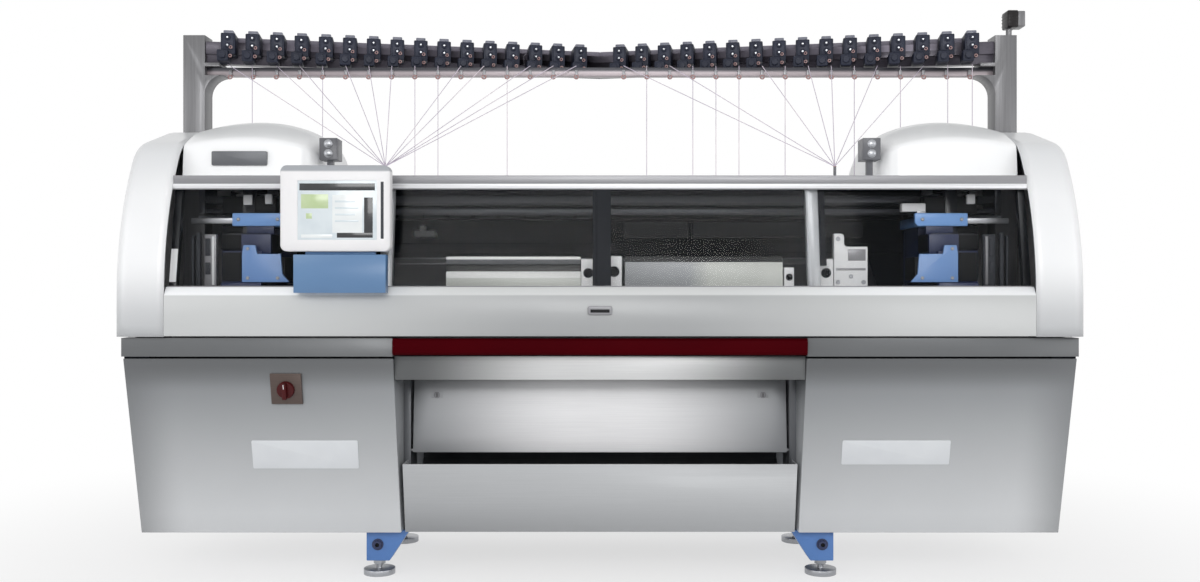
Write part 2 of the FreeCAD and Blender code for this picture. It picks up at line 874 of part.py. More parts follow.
def softened(body, base, name, chosen, kind, amount):
    """Round or bevel those edges of the base that the test chooses."""
    doc.recompute()
    edges = [f"Edge{number}" for number, edge in enumerate(base.Shape.Edges, 1) if chosen(edge)]
    soft = body.newObject("PartDesign::" + kind, f"{body.Name}_{name}")
    soft.Base = (base, edges)
    bind(soft, {"Fillet": "Radius", "Chamfer": "Size"}[kind], amount)
    return soft


def arch(name, inset, soft_corners):
    """An arched end block with a bevelled rim, drawn in by the inset on every outer side."""
    body = doc.addObject("PartDesign::Body", name)
    solid = body.newObject("PartDesign::Pad", name + "_pad")
    solid.Profile = arch_sketch(body, inset)
    bind(solid, "Length", "side_wide")
    doc.recompute()
    corners = [solid.Profile[0].getPoint(line, 1) for line in (2, 3, 4)] if soft_corners else []
    for label, corner in zip(("shoulder", "crown", "tail"), corners):
        def across(edge, y=corner.x, z=corner.y):
            return all(abs(v.Y - y) < 0.01 and abs(v.Z - z) < 0.01 for v in edge.Vertexes)
        solid = softened(body, solid, label, across, "Fillet", f"{label}_radius - {inset}")
    doc.recompute()
    box = solid.Shape.BoundBox

    def on_rim(edge):
        return edge.BoundBox.XMin > box.XMax - 1 and edge.BoundBox.ZMax > box.ZMin + 1
    solid = softened(body, solid, "rim", on_rim, "Chamfer", f"rim_bevel - {inset}")
    if soft_corners:
        softened(body, solid, "rim_side", on_rim, "Chamfer", "rim_ease")
    return body


def side_cover():
    """A moulded end cover: an arched profile with a rounded rim, open below and to the middle."""
    shell = cut("side_cover_shell", arch("side_cover_outer", "0", True),
                arch("side_cover_inner", "side_wall", False))
    post_hole = block("side_cover_post_hole",
                      ("post_x - 3 * play", "post_x + post_wide + 3 * play"),
                      (back("post_set - 3 * play"), back("post_set + post_deep_y + 3 * play")),
                      ("tail_z - 100", "crown_z + 50"))
    return cut("side_cover", shell, post_hole)


right_side_cover = side_cover()
keep(twin(right_side_cover), "left_side_cover")
keep(right_side_cover, "right_side_cover")


# ---------------------------------------------------------------- hood top

def deck_z(depth, drop="0"):
    """The height of the top deck at a depth; it rises towards the back."""
    return f"deck_front_z + (({depth}) - flange_set) * (deck_back_z - deck_front_z)" \
           f" / (deck_back_set - flange_set) - {drop}"


def top_deck():
    lip = "flange_set + strip_deep"
    return prism("top_deck", "YZ",
                 [(back(lip), "flange_high + strip_deep"), (back(lip), deck_z(lip)),
                  (back("deck_back_set"), "deck_back_z"), (back("deck_back_set"), "deck_back_z - deck_sheet"),
                  (back(lip + " + deck_sheet"), deck_z(lip + " + deck_sheet", "deck_sheet")),
                  (back(lip + " + deck_sheet"), "flange_high + strip_deep")],
                 WIDE)


def rear_hood_cover():
    rear = back("depth")
    turn = back("deck_back_set + deck_sheet")
    return prism("rear_hood_cover", "YZ",
                 [(rear + " - sheet", "cover_bottom"), (rear, "cover_bottom"),
                  (rear, "deck_back_z - 3 * sheet"), (back("deck_back_set + 6 * sheet"), "deck_back_z"),
                  (back("deck_back_set"), "deck_back_z"), (back("deck_back_set"), "deck_back_z - sheet"),
                  (turn, "deck_back_z - sheet"), (rear + " - sheet", "deck_back_z - 4 * sheet")],
                 WIDE)


keep(block("hood_flange", WIDE, (back("flange_set - 4"), back("flange_back_set")),
           ("flange_low", "flange_high")), "hood_flange")
keep(block("hood_strip", WIDE, (back("flange_set"), back("flange_set + strip_deep")),
           ("flange_high", "strip_high")), "hood_strip")
keep(top_deck(), "top_deck")
keep(rear_hood_cover(), "rear_hood_cover")


def above_deck(rise):
    return f"deck_front_z + {rise}"


def top_cover():
    """A domed cover: the space that its front, side and plan outlines share, hollow below."""
    base = "deck_front_z"
    peak, brow = above_deck("top_rise"), above_deck("top_brow_rise")
    slope = [(f"({4 - step} * top_peak_x + {step} * top_inner) / 4",
              above_deck(f"top_rise - (top_rise - top_end_rise) * {step * step} / 16"))
             for step in (1, 2, 3)]
    roof = prism("top_front_outline", "XZ",
                 [("top_outer", base), ("top_outer", above_deck("top_side_rise")),
                  ("(top_outer + top_peak_x) / 2", above_deck("top_rise - (top_rise - top_side_rise) / 4")),
                  ("top_peak_x", peak), *slope,
                  ("top_inner", above_deck("top_end_rise")), ("top_inner", base)],
                 (back("top_set"), back("top_back_set")))
    nose = prism("top_side_outline", "YZ",
                 [(back("top_set"), deck_z("top_set")), (back("top_brow_set"), brow),
                  (back("top_crest_set"), f"{peak} - top_fall"),
                  (back("top_crest_set + top_flat"), f"{peak} + 1"),
                  (back("top_back_set - top_flat"), f"{peak} - top_fall"),
                  (back("top_back_set"), brow), (back("top_back_set"), deck_z("top_back_set"))],
                 ("top_inner", "top_outer"))
    corner = [(f"top_inner + top_corner * (1 - sin({turn} deg))",
               back(f"top_set + top_corner * (1 - cos({turn} deg))"))
              for turn in (0, 22.5, 45, 67.5, 90)]
    plan = prism("top_plan_outline", "XY",
                 [("top_outer", back("top_set")), *corner,
                  ("top_inner", back("top_back_set")), ("top_outer", back("top_back_set"))],
                 (base, f"{peak} + 1"))
    shared = doc.addObject("Part::MultiCommon", "top_cover_outer")
    shared.Shapes = [roof, nose, plan]
    hollow = block("top_cover_hollow",
                   ("top_inner + top_corner / 2", "top_outer - top_wall"),
                   (back("top_brow_set + top_wall"), back("top_back_set - top_wall")),
                   (base, f"{brow} - top_wall"))
    return cut("top_cover", shared, hollow)


right_top_cover = top_cover()
keep(twin(right_top_cover), "left_top_cover")
keep(right_top_cover, "right_top_cover")


# ---------------------------------------------------------------- glazing

GLASS_LEAN = "(glass_high_set - glass_low_set) / (flange_low - sill)"
PANE_LOW = "sill + track + play"
PANE_HIGH = "flange_low - track - play"


def pane(name, x, behind, thick="glass", low=PANE_LOW, high=PANE_HIGH):
    """A leaning sheet along X, so far behind the front glass plane."""
    def at(height, extra):
        return back(f"glass_low_set + ({height} - sill) * {GLASS_LEAN} + {behind} + {extra}")
    return prism(name, "YZ", [(at(low, "0"), low), (at(high, "0"), high),
                              (at(high, thick), high), (at(low, thick), low)], x)


right_pane = pane("side_pane", ("pane_inner", "pane_outer"), "pane_step", low="sill", high="flange_low")
keep(pair("side_windows", right_pane), "side_windows")

left_sheet = pane("left_door_glass", ("-door_half", "-stile / 4"), "0")
left_stile = pane("left_door_stile", ("-stile / 2", "-stile / 4"), "-stile_proud", "stile_proud")
keep(fuse("left_door", left_sheet, left_stile), "left_door")
right_sheet = pane("right_door_glass", ("-stile / 4 + 2 * play", "door_half"), "0")
right_stile = pane("right_door_stile", ("-stile / 4 + 2 * play", "3 * stile / 4"), "-stile_proud",
                   "stile_proud")
keep(fuse("right_door", right_sheet, right_stile), "right_door")

lower_track = block("lower_track", WIDE,
                    (back("glass_low_set - stile_proud - 2"), back("glass_low_set + 2 * glass")),
                    ("sill", "sill + track"))
upper_track = block("upper_track", WIDE,
                    (back("glass_high_set - stile_proud - 3"), back("glass_high_set + 2 * glass")),
                    ("flange_low - track", "flange_low"))
keep(group("door_tracks", lower_track, upper_track), "door_tracks")


def window_post(name, x):
    return pane(name, x, "pane_step + glass", "post_deep", "sill", "flange_low")


inner_post = window_post("inner_post", ("post_inner", "post_outer"))
end_post = window_post("end_post", ("end_post", "hood_half - play"))
keep(group("window_posts", inner_post, twin(inner_post), end_post, twin(end_post)), "window_posts")


# ---------------------------------------------------------------- needle beds

def mirrored(depth, rear):
    """A depth in the front half, or its mirror image behind the needle gap."""
    return back(f"2 * bed_mid_set - ({depth})") if rear else back(depth)


def needle_bed(name, rear):
    tip = "bed_mid_set - bed_gap / 2"
    return prism(name, "YZ",
                 [(mirrored("bed_front_set", rear), "bed_front_z"), (mirrored(tip, rear), "bed_tip_z"),
                  (mirrored(tip, rear), "bed_tip_z - bed_thick"),
                  (mirrored("bed_front_set", rear), "bed_front_z - bed_thick")],
                 ("-bed_half", "bed_half"))


def bed_base(name, rear):
    """The casting that carries a needle bed at its slope, standing on a beam."""
    tip = "bed_mid_set - bed_gap / 2"
    seat_high, seat_low = (f"{end} - bed_thick - play" for end in ("bed_tip_z", "bed_front_z"))
    return prism(name, "YZ",
                 [(mirrored("base_set", rear), "beam_top"), (mirrored("base_step_set", rear), "beam_top"),
                  (mirrored("base_step_set", rear), "base_step_z"),
                  (mirrored(tip, rear), f"{seat_high} - base_nose"), (mirrored(tip, rear), seat_high),
                  (mirrored("bed_front_set", rear), seat_low), (mirrored("base_set", rear), seat_low)],
                 ("-base_half", "base_half"))


bases = [bed_base("front_base", False), bed_base("rear_base", True)]
keep(group("needle_bed_bases", *bases), "needle_bed_bases")
keep(needle_bed("front_needle_bed", False), "front_needle_bed")
keep(needle_bed("rear_needle_bed", True), "rear_needle_bed")

COVER_SPAN = (back("front_cover_set"), back("front_cover_set + front_cover_deep"))
left_bed_cover = block("left_bed_cover_bar", ("-bed_cover_outer", "-left_cover_inner"), COVER_SPAN,
                       ("sill", "bed_cover_high"))
cover_slot = block("left_bed_cover_slot", ("-bed_cover_outer - 1", "-left_cover_inner + 1"),
                   (back("front_cover_set - 1"), back("front_cover_set + cover_slot_deep")),
                   ("cover_slot_low", "cover_slot_high"))
right_bed_cover = block("right_bed_cover", ("right_cover_inner", "right_cover_outer"), COVER_SPAN,
                        ("sill", "bed_cover_high"))
keep(group("bed_covers", cut("left_bed_cover", left_bed_cover, cover_slot), right_bed_cover), "bed_covers")


def bed_clamp(name, x, share):
    """An upright block with a round eye, standing on the sill."""
    blank = block(name + "_blank", (x, f"{x} + clamp_wide * {share}"), COVER_SPAN,
                  ("sill", f"sill + clamp_high * {share}"))
    middle = f"sill + clamp_high * {share} / 2"
    eye = hexagon(name + "_eye", f"clamp_bore * {share}", (middle, middle + " + 2 * front_cover_deep"),
                  (f"{x} + clamp_wide * {share} / 2", COVER_SPAN[0] + " - 1"))
    eye.Polygon = 10
    eye.Placement.Rotation = LYING
    return cut(name, blank, eye)


clamps = [
    bed_clamp("clamp_left", "-left_cover_inner + 2", "1"),
    bed_clamp("clamp_middle", "right_cover_inner - clamp_wide - 18", "1.1"),
    bed_clamp("clamp_small", "right_cover_outer + 6", "0.7"),
    bed_clamp("clamp_right", "post_outer + 6", "1"),
]
keep(group("bed_clamps", *clamps), "bed_clamps")


# ---------------------------------------------------------------- carriages and their track

def track_rail(name, rear):
    """A carriage rail on five stands along a beam."""
    near = mirrored("track_rail_set + track_rail_deep", True) if rear else back("track_rail_set")
    far = near + " + track_rail_deep"
    low = "track_rail_high - track_rail_thick"
    rail = block(name, ("-track_half", "track_half"), (near, far), (low, "track_rail_high"))
    stands = [block(f"{name}_stand{number}",
                    (f"{number - 2} * bracket_pitch - bracket_wide / 2",
                     f"{number - 2} * bracket_pitch + bracket_wide / 2"),
                    (near, far), ("beam_top", low))
              for number in range(5)]
    return fuse(name + "_set", rail, *stands)


tracks = [track_rail("front_rail", False), track_rail("rear_rail", True)]
keep(group("carriage_rails", *tracks), "carriage_rails")


def cam_box(name, rear):
    """A cam box that rides on a rail and follows the slope of the needle bed."""
    inner, shoe_back = "cam_inner_set", "shoe_set + shoe_deep"
    bed_slope = "(bed_tip_z - bed_front_z) / (bed_mid_set - bed_gap / 2 - bed_front_set)"
    tip_low = f"bed_front_z + (cam_inner_set - bed_front_set) * {bed_slope} + cam_lift"
    bend = f"bed_front_set + (cam_low - cam_lift - bed_front_z) / ({bed_slope})"
    return prism(name, "YZ",
                 [(mirrored("shoe_set", rear), "track_rail_high + play"),
                  (mirrored(shoe_back, rear), "track_rail_high + play"),
                  (mirrored(shoe_back, rear), "cam_low"), (mirrored(bend, rear), "cam_low"),
                  (mirrored(inner, rear), tip_low),
                  (mirrored(inner, rear), "plate_low" if rear else "cam_high"),
                  (mirrored("cam_front_set", rear), "plate_low" if rear else "cam_high"),
                  (mirrored("cam_front_set", rear), "cam_low"), (mirrored("shoe_set", rear), "cam_low")],
                 ("carriage_x - cam_half", "carriage_x + cam_half"))


def carriage_bow():
    """The head, the bow over the feeder rails and the rear plate, with its silver bar."""
    head = block("bow_head", ("carriage_x - bow_half", "carriage_x + bow_half"),
                 (back("head_set"), back("cam_inner_set")), ("cam_high", "head_high"))
    rear_leg = "2 * bed_mid_set - bow_front_set"
    front_inside, rear_inside = back("bow_front_set + bow_arm"), back(rear_leg + " - bow_arm")
    arch = prism("bow_arch", "YZ",
                 [(back("bow_front_set"), "head_high"), (back("bow_front_set"), "bow_high"),
                  (back(rear_leg), "bow_high"), (back(rear_leg), "plate_high"),
                  (rear_inside, "plate_high"), (rear_inside, "bow_under"),
                  (front_inside, "bow_under"), (front_inside, "head_high")],
                 ("carriage_x - bow_arm_half", "carriage_x + bow_arm_half"))
    plate = block("bow_plate", ("carriage_x - bow_half", "carriage_x + bow_half"),
                  (back("2 * bed_mid_set - cam_inner_set"), back("plate_back_set")),
                  ("plate_low", "plate_high"))
    bar = block("bow_bar", ("carriage_x - bow_arm_half", "bar_end"),
                (back("bar_set"), back("bar_set + bar_deep")), ("plate_high", "plate_high + bar_high"))
    return fuse("carriage_bow", head, arch, plate, bar)


cams = group("cam_boxes", cam_box("front_cam_box", False), cam_box("rear_cam_box", True))
keep(twin(cams), "left_cam_boxes")
keep(cams, "right_cam_boxes")
bow = carriage_bow()
keep(twin(bow), "left_carriage_bow")
keep(bow, "right_carriage_bow")


# ---------------------------------------------------------------- feeder rails and feeders

def feeder_rail(name, step, low, high):
    near = back(f"feeder_rail_set + {step} * feeder_rail_step")
    return block(name, ("-hanger_half", "hanger_half"), (near, near + " + feeder_rail_thick"), (low, high))


def rail_hanger():
    """A plate below the deck that holds one end of all four feeder rails."""
    near = "feeder_rail_set - hanger_margin"
    far = "feeder_rail_set + feeder_rail_step + feeder_rail_thick + hanger_margin"
    return prism("rail_hanger", "YZ",
                 [(back(near), "hanger_low"), (back(far), "hanger_low"),
                  (back(far), deck_z(far, "deck_sheet")), (back(near), deck_z(near, "deck_sheet"))],
                 ("hanger_half", "hanger_half + hanger_thick"))


rails = [feeder_rail(f"feeder_rail_{level}{step}", step, f"{level}_rail_low", f"{level}_rail_high")
         for level in ("upper", "lower") for step in (0, 1)]
keep(group("feeder_rails", *rails), "feeder_rails")
keep(pair("rail_hangers", rail_hanger()), "rail_hangers")


def yarn_feeder():
    """A feeder that hooks over the front rails, with an arm down to the needle gap."""
    near, far = "feeder_rail_set", "feeder_rail_set + feeder_rail_thick"
    arm_set = "bed_mid_set - feeder_arm"
    hook = prism("feeder_hook", "YZ",
                 [(back(near + " - play - feeder_skin"), "upper_rail_low"),
                  (back(near + " - play - feeder_skin"), "feeder_top"),
                  (back(far + " + play + feeder_skin"), "feeder_top"),
                  (back(far + " + play + feeder_skin"), "lower_rail_low"),
                  (back(far + " + play"), "lower_rail_low"),
                  (back(far + " + play"), "upper_rail_high + play"),
                  (back(near + " - play"), "upper_rail_high + play"),
                  (back(near + " - play"), "upper_rail_low")],
                 ("feeder_x - feeder_half", "feeder_x + feeder_half"))
    reach = block("feeder_reach", ("feeder_x - feeder_arm", "feeder_x + feeder_arm"),
                  (back(far + " + play"), back(arm_set + " + 2 * feeder_arm")),
                  ("lower_rail_low", "lower_rail_low + 2 * feeder_arm"))
    arm = block("feeder_arm_bar", ("feeder_x - feeder_arm", "feeder_x + feeder_arm"),
                (back(arm_set), back(arm_set + " + 2 * feeder_arm")),
                ("nozzle_z", "lower_rail_low + feeder_arm"))
    return fuse("yarn_feeder", hook, reach, arm)


feeder = yarn_feeder()
keep(twin(feeder), "left_yarn_feeder")
keep(feeder, "right_yarn_feeder")


# ---------------------------------------------------------------- yarn stand

POST_END = "post_x + post_wide"
POST_SPAN = (back("post_set"), back("post_set + post_deep_y"))


def stand_post():
    """A box post with a knee and a curved gusset below the guide rail."""
    post = block("post_bar", ("post_x", POST_END), POST_SPAN, ("beam_top", "stand_top"))
    web = block("gusset_blank", ("post_x - gusset", "post_x"), POST_SPAN,
                ("guide_low - gusset", "guide_low"))
    curve = rod("gusset_curve", "y", "gusset", (POST_SPAN[0] + " - 1", POST_SPAN[1] + " + 1"),
                ("post_x - gusset", "guide_low - gusset"))
    knee = block("post_knee", ("post_x - knee_wide", "post_x"), POST_SPAN,
                 ("guide_high", "channel_low - 2 * play"))
    return fuse("stand_post", post, cut("gusset", web, curve), knee)


def unit_rail():
    """One half of the rail, which runs back to the middle of the machine, over a narrow channel."""
    def run(name, inset, low, high):
        return prism(name, "XY",
                     [("post_x", back(f"end_set + {inset}")), ("0", back(f"apex_set + {inset}")),
                      ("0", back(f"apex_set + unit_rail_deep - {inset}")),
                      ("post_x", back(f"end_set + unit_rail_deep - {inset}"))],
                     (low, high))
    rail = run("unit_rail_bar", "0", "unit_rail_low", "unit_rail_high")
    channel = run("unit_rail_channel", "10", "channel_low", "unit_rail_low")
    return fuse("unit_rail", rail, channel)


keep(pair("stand_posts", stand_post()), "stand_posts")
keep(pair("unit_rails", unit_rail()), "unit_rails")
keep(block("guide_rail", ("-post_x", "post_x"), (back("guide_set"), back("guide_set + guide_deep")),
           ("guide_low", "guide_high")), "guide_rail")

RAIL_RUN = "(apex_set - end_set) / post_x"


def unit_x(number):
    return f"first_unit + {number} * unit_pitch"


def control_unit(number):
    """A yarn control unit on the front of the rail: body, cap and yarn brake."""
    face = back(f"apex_set - ({unit_x(number)}) * {RAIL_RUN}")
    lean = f"atan({RAIL_RUN})"

    def piece(name, left, wide, front, deep, low, high):
        """A box on the slanting rail face, placed from the middle of its unit."""
        box = doc.addObject("Part::Box", f"{name}{number}")
        bind(box, "Length", wide)
        bind(box, "Width", deep)
        bind(box, "Height", f"{high} - ({low})")
        bind(box, "Placement.Base.x", f"{unit_x(number)} + ({left}) * cos({lean}) - ({front}) * sin({lean})")
        bind(box, "Placement.Base.y", f"{face} - ({front}) * cos({lean}) - ({left}) * sin({lean})")
        bind(box, "Placement.Base.z", low)
        box.Placement.Rotation = FreeCAD.Rotation(FreeCAD.Vector(0, 0, 1), -1)
        bind(box, "Placement.Rotation.Angle", f"-atan({RAIL_RUN})")
        return box

    body = piece("unit_body", "-unit_wide / 2", "unit_wide", "unit_deep", "unit_deep",
                 "unit_low", "unit_top")
    cap = piece("unit_cap", "-cap_wide / 2", "cap_wide", "unit_deep - cap_inset",
                "unit_deep - 2 * cap_inset", "unit_top", "unit_top + cap_high")
    brake = piece("unit_brake", "-unit_wide / 2 - brake_left", "brake_wide", "unit_deep + brake_proud",
                  "unit_deep", "brake_low", "brake_high")
    return fuse(f"control_unit{number}", body, cap, brake)


units = group("control_units_right", *[control_unit(number) for number in range(UNITS_A_SIDE)])
keep(pair("yarn_control_units", units), "yarn_control_units")


# ---------------------------------------------------------------- tensioners, guides and yarns

def tensioner():
    """A yarn tensioner block on its leg, beside a top cover."""
    head = block("tension_head", ("tension_inner", "tension_outer"),
                 (back("tension_set"), back("tension_set + tension_deep")), ("tension_low", "tension_high"))
    middle = "(tension_inner + tension_outer) / 2"
    depth = "tension_set + tension_deep / 2"
    leg = block("tension_leg_bar", (f"{middle} - tension_leg / 2", f"{middle} + tension_leg / 2"),
                (back(f"{depth} - tension_leg / 2"), back(f"{depth} + tension_leg / 2")),
                (deck_z(f"{depth} + tension_leg / 2"), "tension_low"))
    return fuse("tensioner", head, leg)


def yarn_guide(name, x):
    return hexagon(name, "guide_radius", (deck_z("guide_y_set + guide_radius"), "guide_top"),
                   (x, back("guide_y_set")))


right_tensioner = tensioner()
keep(group("yarn_tensioners", right_tensioner, twin(right_tensioner),
           yarn_guide("left_guide", "-guide_left_x"), yarn_guide("right_guide", "guide_right_x")),
     "yarn_tensioners")


def strand(start, end):
    """A taut yarn: a thin straight four-sided thread between two points."""
    along = end - start
    side = along.cross(FreeCAD.Vector(0, 1, 0.3)).normalize() * read("yarn_radius")
    spin = FreeCAD.Rotation(along, 90)
    ring = [start + side]
    for _ in range(4):
        side = spin.multVec(side)
        ring.append(start + side)
    ring[-1] = ring[0]
    return Part.Face(Part.makePolygon(ring)).extrude(along)


def landing(start, floor):
    """The point just above the highest surface below a yarn."""
    drop = Part.makeLine(start, FreeCAD.Vector(start.x, start.y, 0))
    top = max(vertex.Z for vertex in drop.section(floor).Vertexes)
    return FreeCAD.Vector(start.x, start.y, top + read("yarn_gap"))


def yarns():
    """Each unit sends its yarn to the guide of its side, or straight down to the hood."""
    doc.recompute()
    hood = Part.makeCompound([node.Shape for node in nodes if node.Label.endswith(("deck", "top_cover"))])
    front, apex, end = read("front"), read("apex_set"), read("end_set")
    slant = (apex - end) / read("post_x")
    eye_z = read("guide_top") + read("yarn_radius") + read("yarn_gap")
    threads = []
    for sign, straight, guide_x in ((-1, LEFT_STRAIGHT, read("guide_left_x")),
                                    (1, RIGHT_STRAIGHT, read("guide_right_x"))):
        for number in range(UNITS_A_SIDE):
            x = read("first_unit") + number * read("unit_pitch")
            depth = min(apex - x * slant - read("unit_deep") / 2, read("guide_set") - read("yarn_ahead"))
            start = FreeCAD.Vector(sign * x, front + depth, read("brake_low") - read("play"))
            eye = FreeCAD.Vector(sign * guide_x, front + read("guide_y_set"), eye_z)
            threads.append(strand(start, landing(start, hood) if number in straight else eye))
    feature = doc.addObject("Part::Feature", "yarns")
    feature.Shape = Part.makeCompound(threads)
    return feature


keep(yarns(), "yarns")


# ---------------------------------------------------------------- control panel and lamp

def panel_stand():
    """The blue box below the panel, on a wedge that seats on the bevel of the front cover."""
    box = block("stand_box", ("-stand_left", "-stand_right"), (back("-stand_front"), back("-stand_back")),
                ("stand_low", "stand_high"))
    bevel = "(stand_low - cover_break) * sill_set / (sill - cover_break)"
    wedge = prism("stand_wedge", "YZ",
                  [(back("-stand_back"), "stand_low"), (back(bevel), "stand_low"),
                   (back("sill_set"), "sill"), (back("-stand_back"), "sill")],
                  ("-stand_left + wedge_inset", "-stand_right - wedge_inset"))
    pin = rod("stand_pin", "x", "pin_radius", ("-stand_left + pin_inset", "-stand_right - pin_inset"),
              (back("-pin_set"), "stand_high + pin_radius"))
    saddle = block("stand_saddle", ("-stand_left + pin_inset", "-stand_right - pin_inset"),
                   (back("-pin_set - pin_radius / 2"), back("-pin_set + pin_radius / 2")),
                   ("stand_high", "stand_high + pin_radius"))
    return fuse("panel_stand", box, wedge, saddle, pin)


def panel_housing():
    left, right = "-panel_left + panel_corner", "-panel_right - panel_corner"
    low, high = "panel_under + panel_corner", "panel_over - panel_corner"
    body = prism("panel_housing_blank", "XZ",
                 [(left, "panel_under"), (right, "panel_under"),
                  ("-panel_right", low), ("-panel_right", high),
                  (right, "panel_over"), (left, "panel_over"),
                  ("-panel_left", high), ("-panel_left", low)],
                 (back("-panel_front"), back("-panel_rear")))
    recess = block("screen_recess", ("-screen_left", "-screen_right"),
                   (back("-panel_front - 1"), back("-panel_front + screen_deep")),
                   ("screen_low", "screen_high"))
    return cut("panel_housing", body, recess)


keep(panel_stand(), "panel_stand")
keep(panel_housing(), "panel_housing")
keep(block("panel_screen", ("-screen_left + play", "-screen_right - play"),
           (back("-panel_front + screen_deep - screen_thick"), back("-panel_front + screen_deep")),
           ("screen_low + play", "screen_high - play")), "panel_screen")


def signal_lamp():
    """The lamp head on a short stem, on top of the right post."""
    middle = back("post_set + post_deep_y / 2")
    head = block("lamp_head", ("lamp_left", "lamp_right"),
                 (middle + " - lamp_deep / 2", middle + " + lamp_deep / 2"), ("lamp_low", "lamp_high"))
    stem = rod("lamp_stem_bar", "z", "lamp_stem", ("stand_top", "lamp_low"),
               ("(lamp_left + post_x + post_wide) / 2", middle))
    return fuse("signal_lamp", head, stem)


keep(signal_lamp(), "signal_lamp")


# ---------------------------------------------------------------- check and write

doc.recompute()
faults = [item.Label for item in doc.Objects if "Invalid" in item.State or "Error" in item.State]
for node in nodes:
    if node.Shape.isNull() or not node.Shape.isValid() or not node.Shape.Solids:
        faults.append(node.Label + " has no valid solid")
if faults:
    raise RuntimeError("failed: " + ", ".join(faults))

os.makedirs("parts", exist_ok=True)
for node in nodes:
    node.Shape.exportStep(f"parts/{node.Label}.step")
print(len(nodes), "sub-parts written")
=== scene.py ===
from math import asin, atan, cos, pi, radians, sin, sqrt, tan

import bmesh
import bpy
from mathutils import Matrix, Vector

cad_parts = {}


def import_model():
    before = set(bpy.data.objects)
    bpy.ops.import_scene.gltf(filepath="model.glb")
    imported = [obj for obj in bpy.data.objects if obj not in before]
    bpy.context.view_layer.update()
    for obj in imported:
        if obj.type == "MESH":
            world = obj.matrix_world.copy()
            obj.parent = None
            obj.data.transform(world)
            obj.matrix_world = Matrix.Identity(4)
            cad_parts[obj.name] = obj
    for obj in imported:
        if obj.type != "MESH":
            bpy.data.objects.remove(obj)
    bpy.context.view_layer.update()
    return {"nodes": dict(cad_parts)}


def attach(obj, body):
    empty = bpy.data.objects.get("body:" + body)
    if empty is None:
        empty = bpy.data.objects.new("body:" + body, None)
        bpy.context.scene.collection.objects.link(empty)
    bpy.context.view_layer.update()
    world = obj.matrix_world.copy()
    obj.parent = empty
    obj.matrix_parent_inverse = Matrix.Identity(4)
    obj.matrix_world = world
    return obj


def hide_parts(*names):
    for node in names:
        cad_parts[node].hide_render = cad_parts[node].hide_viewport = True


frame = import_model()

# Flat knitting machine. Metres, X along the machine, Y to the back, Z up.
NODES = frame["nodes"]
FRONT = -0.45
MAIN = "machine_frame"
NEEDLE_PITCH = 0.0036


# ---- finishes

def linear(colour):
    """A linear colour with alpha, from screen values of 0 to 255."""
    shares = [value / 255 for value in colour]
    return (*(c / 12.92 if c <= 0.04045 else ((c + 0.055) / 1.055) ** 2.4 for c in shares), 1.0)


class Tree:
    """Short calls that add nodes to a tree."""

    def __init__(self, tree):
        self.nodes, self.links = tree.nodes, tree.links

    def add(self, kind, **inputs):
        node = self.nodes.new(kind)
        for key, value in inputs.items():
            self.put(node.inputs[key.replace("_", " ")], value)
        return node

    def put(self, socket, value):
        if isinstance(value, bpy.types.NodeSocket):
            self.links.new(value, socket)
        else:
            socket.default_value = value

    def math(self, operation, first, second=0.0):
        node = self.nodes.new("ShaderNodeMath")
        node.operation = operation
        self.put(node.inputs[0], first)
        self.put(node.inputs[1], second)
        return node.outputs[0]

    def both(self, first, second):
        return self.math("MULTIPLY", first, second)

    def seen(self):
        """1 for rays from the eye, also in a mirror or through glass."""
        rays = self.add("ShaderNodeLightPath").outputs
        return self.math("MAXIMUM", rays["Is Camera Ray"],
                         self.math("MAXIMUM", rays["Is Glossy Ray"], rays["Is Transmission Ray"]))

    def mix(self, share, first, second, output):
        """Carry two shaders to an output, mixed by a share."""
        mixed = self.add("ShaderNodeMixShader")
        for socket, value in zip(mixed.inputs, (share, first.outputs[0], second.outputs[0])):
            self.put(socket, value)
        self.put(self.nodes[output].inputs["Surface"], mixed.outputs[0])


